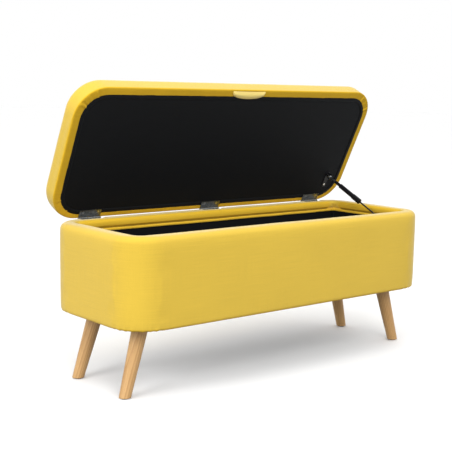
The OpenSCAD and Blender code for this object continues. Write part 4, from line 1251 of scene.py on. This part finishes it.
def board_finish():
    """Brown fibreboard with pressed fibres."""
    finish = Finish("fibreboard", 0.85, specular=0.3)
    fibres = noise_at(finish.tree, finish.place.outputs["Object"], (420, 420, 420), 4, 0.7)
    broad = finish.effect("patches", "Place", finish.place.outputs["Object"], Amount=0.5)
    shade = finish.maths("ADD", fibres, broad.outputs["Patch"])
    finish.colour(finish.ramp(shade, [(0.3, (0.10, 0.055, 0.025)), (0.7, (0.24, 0.145, 0.07))]))
    finish.relief(fibres, 0.1 * MM)
    return finish.material


def make_finishes():
    cloths = {
        "cover_fabric": cloth_finish("cover_fabric", YELLOW, 0.13, 1.1 * MM, 0.7, 0.55,
                                     0.12 * MM, tint=(1.0, 1.0, 0.88), flat=SHADED_YELLOW),
        "lining_cloth": cloth_finish("lining_cloth", BLACK_CLOTH, 0.3, 0.7 * MM, 0.35, 0.04,
                                     0.06 * MM, specular=0.11, roughness=0.74),
        "dust_cloth": cloth_finish("dust_cloth", (0.012, 0.012, 0.013), 0.4, 1.6 * MM, 0.9, 0.05,
                                   0.1 * MM),
    }
    boards = {
        "plywood": timber_finish("plywood", (0.42, 0.25, 0.11), (0.62, 0.43, 0.23), 9 * MM, 0.35,
                                 laid_down),
        "fibreboard": board_finish(),
    }
    # Colour, roughness, metallic, amount of scuffs and colour of the specks
    plain_ones = {
        "thread": ((0.74, 0.47, 0.07), 0.7, 0.0, 0.6, (0.6, 0.36, 0.04)),
        "screw_steel": ((0.66, 0.66, 0.65), 0.26, 1.0, 0.6, (0.4, 0.4, 0.39)),
        "dark_steel": ((0.05, 0.05, 0.052), 0.3, 1.0, 0.6, (0.03, 0.03, 0.03)),
        "seal_plastic": ((0.02, 0.02, 0.022), 0.55, 0.0, 0.5, (0.04, 0.04, 0.04)),
        "glide_plastic": ((0.03, 0.025, 0.02), 0.6, 0.0, 0.6, (0.07, 0.06, 0.05)),
        "staple_wire": ((0.5, 0.5, 0.5), 0.32, 1.0, 0.5, (0.3, 0.3, 0.3)),
    }
    hard = {name: hard_finish(name, *values) for name, values in plain_ones.items()}
    # Zinc: the dark base, strong mottle and near-white specks stand in for the leaves' patchy
    # reflections and glints, painted reflection over real scuffs.
    hard["zinc_steel"] = hard_finish("zinc_steel", (0.25, 0.26, 0.26), 0.28, 1.0, 1.0,
                                     (0.9, 0.9, 0.9), contrast=0.85, relief=0.12)
    hard["black_paint"] = hard_finish("black_paint", (0.006, 0.006, 0.008), 0.42, 0.0, 0.5,
                                      (0.03, 0.03, 0.03), specular=0.2)
    return {**cloths, **boards, **hard}


FINISHES = make_finishes()

NODE_FINISHES = {
    "plywood": ["bottom_board", "front_wall", "back_wall", "left_wall", "right_wall",
                "wall_battens", "rim_frame", "lid_panel"],
    "fibreboard": ["fibreboard_skin"],
    "screw_steel": ["rim_frame_screws", "leg_plate_screws", "hanger_bolts", "hinge_body_screws",
                    "hinge_lid_screws", "stay_wall_screws", "stay_lid_screws", "stay_lid_pivot",
                    "leg_plate_front_left", "leg_plate_front_right", "leg_plate_rear_left",
                    "leg_plate_rear_right"],
    "zinc_steel": ["hinge_left_body_leaf", "hinge_middle_body_leaf", "hinge_right_body_leaf",
                   "hinge_left_lid_leaf", "hinge_middle_lid_leaf", "hinge_right_lid_leaf",
                   "hinge_left_pin", "hinge_middle_pin", "hinge_right_pin", "stay_wall_plate",
                   "stay_tube_eye"],
    "black_paint": ["stay_tube", "stay_collar", "stay_lid_bracket"],
    "dark_steel": ["stay_rod", "stay_piston", "stay_rod_stud"],
    "seal_plastic": ["stay_seal"],
    "glide_plastic": ["leg_glides"],
}


def paint(obj, material):
    obj.data.materials.clear()
    obj.data.materials.append(material)


def paint_nodes():
    for key, names in NODE_FINISHES.items():
        for name in names:
            paint(NODES[name], FINISHES[key])
    for side in ("front_left", "front_right", "rear_left", "rear_right"):
        name = f"leg_{side}"
        wood = timber_finish(f"oak_{side}", (0.40, 0.205, 0.065), (0.62, 0.37, 0.15), 5 * MM, 0.6,
                             leg_place(name), coat=0.12)
        paint(NODES[name], wood)


# ---------------------------------------------------------------- assembly

def add_piece(obj, body, slot, finish, *nodes):
    """Gives a finished piece its material and its body, and hides the nodes it stands for. slot is not
    used.
    """
    paint(obj, FINISHES[finish])
    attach(obj, body)
    if nodes:
        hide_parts(*nodes)
    return obj


def make_soft_pieces():
    box = add_piece(make_box_cover(), "box", "cover_fabric", "cover_fabric",
                    "body_cover", "side_foam", "rim_foam")
    welt = add_piece(make_rim_welt(), "box", "cover_fabric", "cover_fabric", "rim_welt")
    walls = add_piece(make_wall_lining(), "box", "lining_cloth", "lining_cloth", "wall_lining")
    floor = add_piece(make_floor_lining(), "box", "lining_cloth", "lining_cloth", "floor_lining")
    dust = add_piece(make_dust_cover(), "box", "dust_cloth", "dust_cloth", "dust_cover")
    pad = add_piece(make_seat_pad(), "lid", "cover_fabric", "cover_fabric",
                    "lid_cover", "lid_foam")
    lining = add_piece(make_lid_lining(), "lid", "lining_cloth", "lining_cloth",
                       "lid_lining")
    tab = add_piece(make_pull_tab(), "lid", "cover_fabric", "cover_fabric", "pull_tab")


def make_rows():
    """Staples under the box, and the stitches of the pull tab."""
    staples = repeat_tree("staple_row", "wire")
    threads = repeat_tree("stitch_row", "thread")
    outline = Outline(12, 40, 12)
    inset = 31 * MM
    ring = outline.ring(BOX_X - inset, BOX_Y - inset, BOX_R - inset) + np.array(BOX_MID)[:2]
    level = np.full(outline.count, HEM_Z - 1.0 * MM)
    row = row_of("dust_staples", staples, np.column_stack([ring, level]), True,
                 FINISHES["staple_wire"], Spacing=STAPLE_PITCH, Length=11 * MM, Width=1.1 * MM,
                 Height=0.5 * MM, Unevenness=0.16)
    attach(row, "box")
    low, high = closed_box("pull_tab")
    edge = []
    for i in range(3, 58):
        x, y = tab_outline(i / 60)
        edge.append(((low[0] + high[0]) / 2 + x * 0.95, low[1] - TAB_SEAM_AHEAD + y * 0.86,
                     high[2] - 3.3 * MM))
    row = row_of("tab_stitches", threads, edge, False, FINISHES["thread"], Spacing=3.4 * MM,
                 Length=2.4 * MM, Width=0.55 * MM, Height=0.45 * MM, Unevenness=0.08)
    open_lid(row)
    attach(row, "lid")


# ---------------------------------------------------------------- floor, light and camera

def make_floor():
    """Plain pale floor. It throws no light back up, so shaded undersides stay dark."""
    half = 30.0
    corners = [(-half, -half, 0), (half, -half, 0), (half, half, 0), (-half, half, 0)]
    floor = mesh_object("floor", corners, [(0, 1, 2, 3)])
    finish = Finish("floor_white", 0.9, specular=0.1)
    finish.shader.inputs["Base Color"].default_value = (1, 1, 1, 1)
    paint(floor, finish.material)
    floor.visible_diffuse = False


def area_light(name, place, aim, size, power, colour=(1, 1, 1)):
    light = bpy.data.lights.new(name, "AREA")
    light.shape = "RECTANGLE"
    light.size, light.size_y = size
    light.energy = power
    light.color = colour
    obj = bpy.data.objects.new(name, light)
    bpy.context.scene.collection.objects.link(obj)
    obj.location = place
    obj.rotation_euler = (Vector(aim) - Vector(place)).to_track_quat("-Z", "Y").to_euler()


def make_light():
    """Even white surroundings, soft lights from the front and the left, and a weak top light."""
    world = bpy.data.worlds.new("studio")
    bpy.context.scene.world = world
    world.use_nodes = True
    tree = world.node_tree
    back = tree.nodes["Background"]
    view = tree.nodes.new("ShaderNodeTexCoord")
    split = tree.nodes.new("ShaderNodeSeparateXYZ")
    tree.links.new(view.outputs["Generated"], split.inputs[0])
    level = tree.nodes.new("ShaderNodeMapRange")
    level.interpolation_type = "SMOOTHSTEP"
    limits = (("From Min", -0.12), ("From Max", -0.03), ("To Min", 0.2), ("To Max", 1.0))
    for label, value in limits:
        level.inputs[label].default_value = value
    tree.links.new(split.outputs["Z"], level.inputs["Value"])
    back.inputs["Color"].default_value = (1, 1, 1, 1)
    tree.links.new(level.outputs["Result"], back.inputs["Strength"])
    area_light("key", (-1.6, -3.4, 2.6), (0, 0, 0.4), (2.2, 2.2), 86)
    area_light("left", (-4.0, -0.6, 1.9), (0, 0, 0.4), (2.0, 2.0), 74)
    area_light("top", (0.0, -0.3, 3.8), (0, 0, 0.4), (3.0, 2.0), 11)
    scene = bpy.context.scene
    scene.view_settings.view_transform = "Standard"
    scene.view_settings.look = "None"


def make_camera():
    """Standing at the front left, a little above the bench."""
    yaw, pitch, roll = (math.radians(a) for a in (41.28, -8.81, 1.22))
    forward = Vector((math.sin(yaw) * math.cos(pitch), math.cos(yaw) * math.cos(pitch),
                      math.sin(pitch)))
    level = Vector((math.cos(yaw), -math.sin(yaw), 0))
    upright = level.cross(forward)
    right = math.cos(roll) * level + math.sin(roll) * upright
    up = math.cos(roll) * upright - math.sin(roll) * level
    lens = bpy.data.cameras.new("camera")
    lens.sensor_width = 36
    lens.lens = 79.46
    lens.shift_x = -0.0696
    lens.shift_y = 0.0409
    lens.clip_end = 100
    camera = bpy.data.objects.new("camera", lens)
    bpy.context.scene.collection.objects.link(camera)
    turn = Matrix((right, up, -forward)).transposed()
    camera.matrix_world = Matrix.Translation((-1.88523, -2.20324, 0.78550)) @ turn.to_4x4()
    bpy.context.scene.camera = camera


make_camera()
make_floor()
make_light()
paint_nodes()
make_soft_pieces()
make_rows()
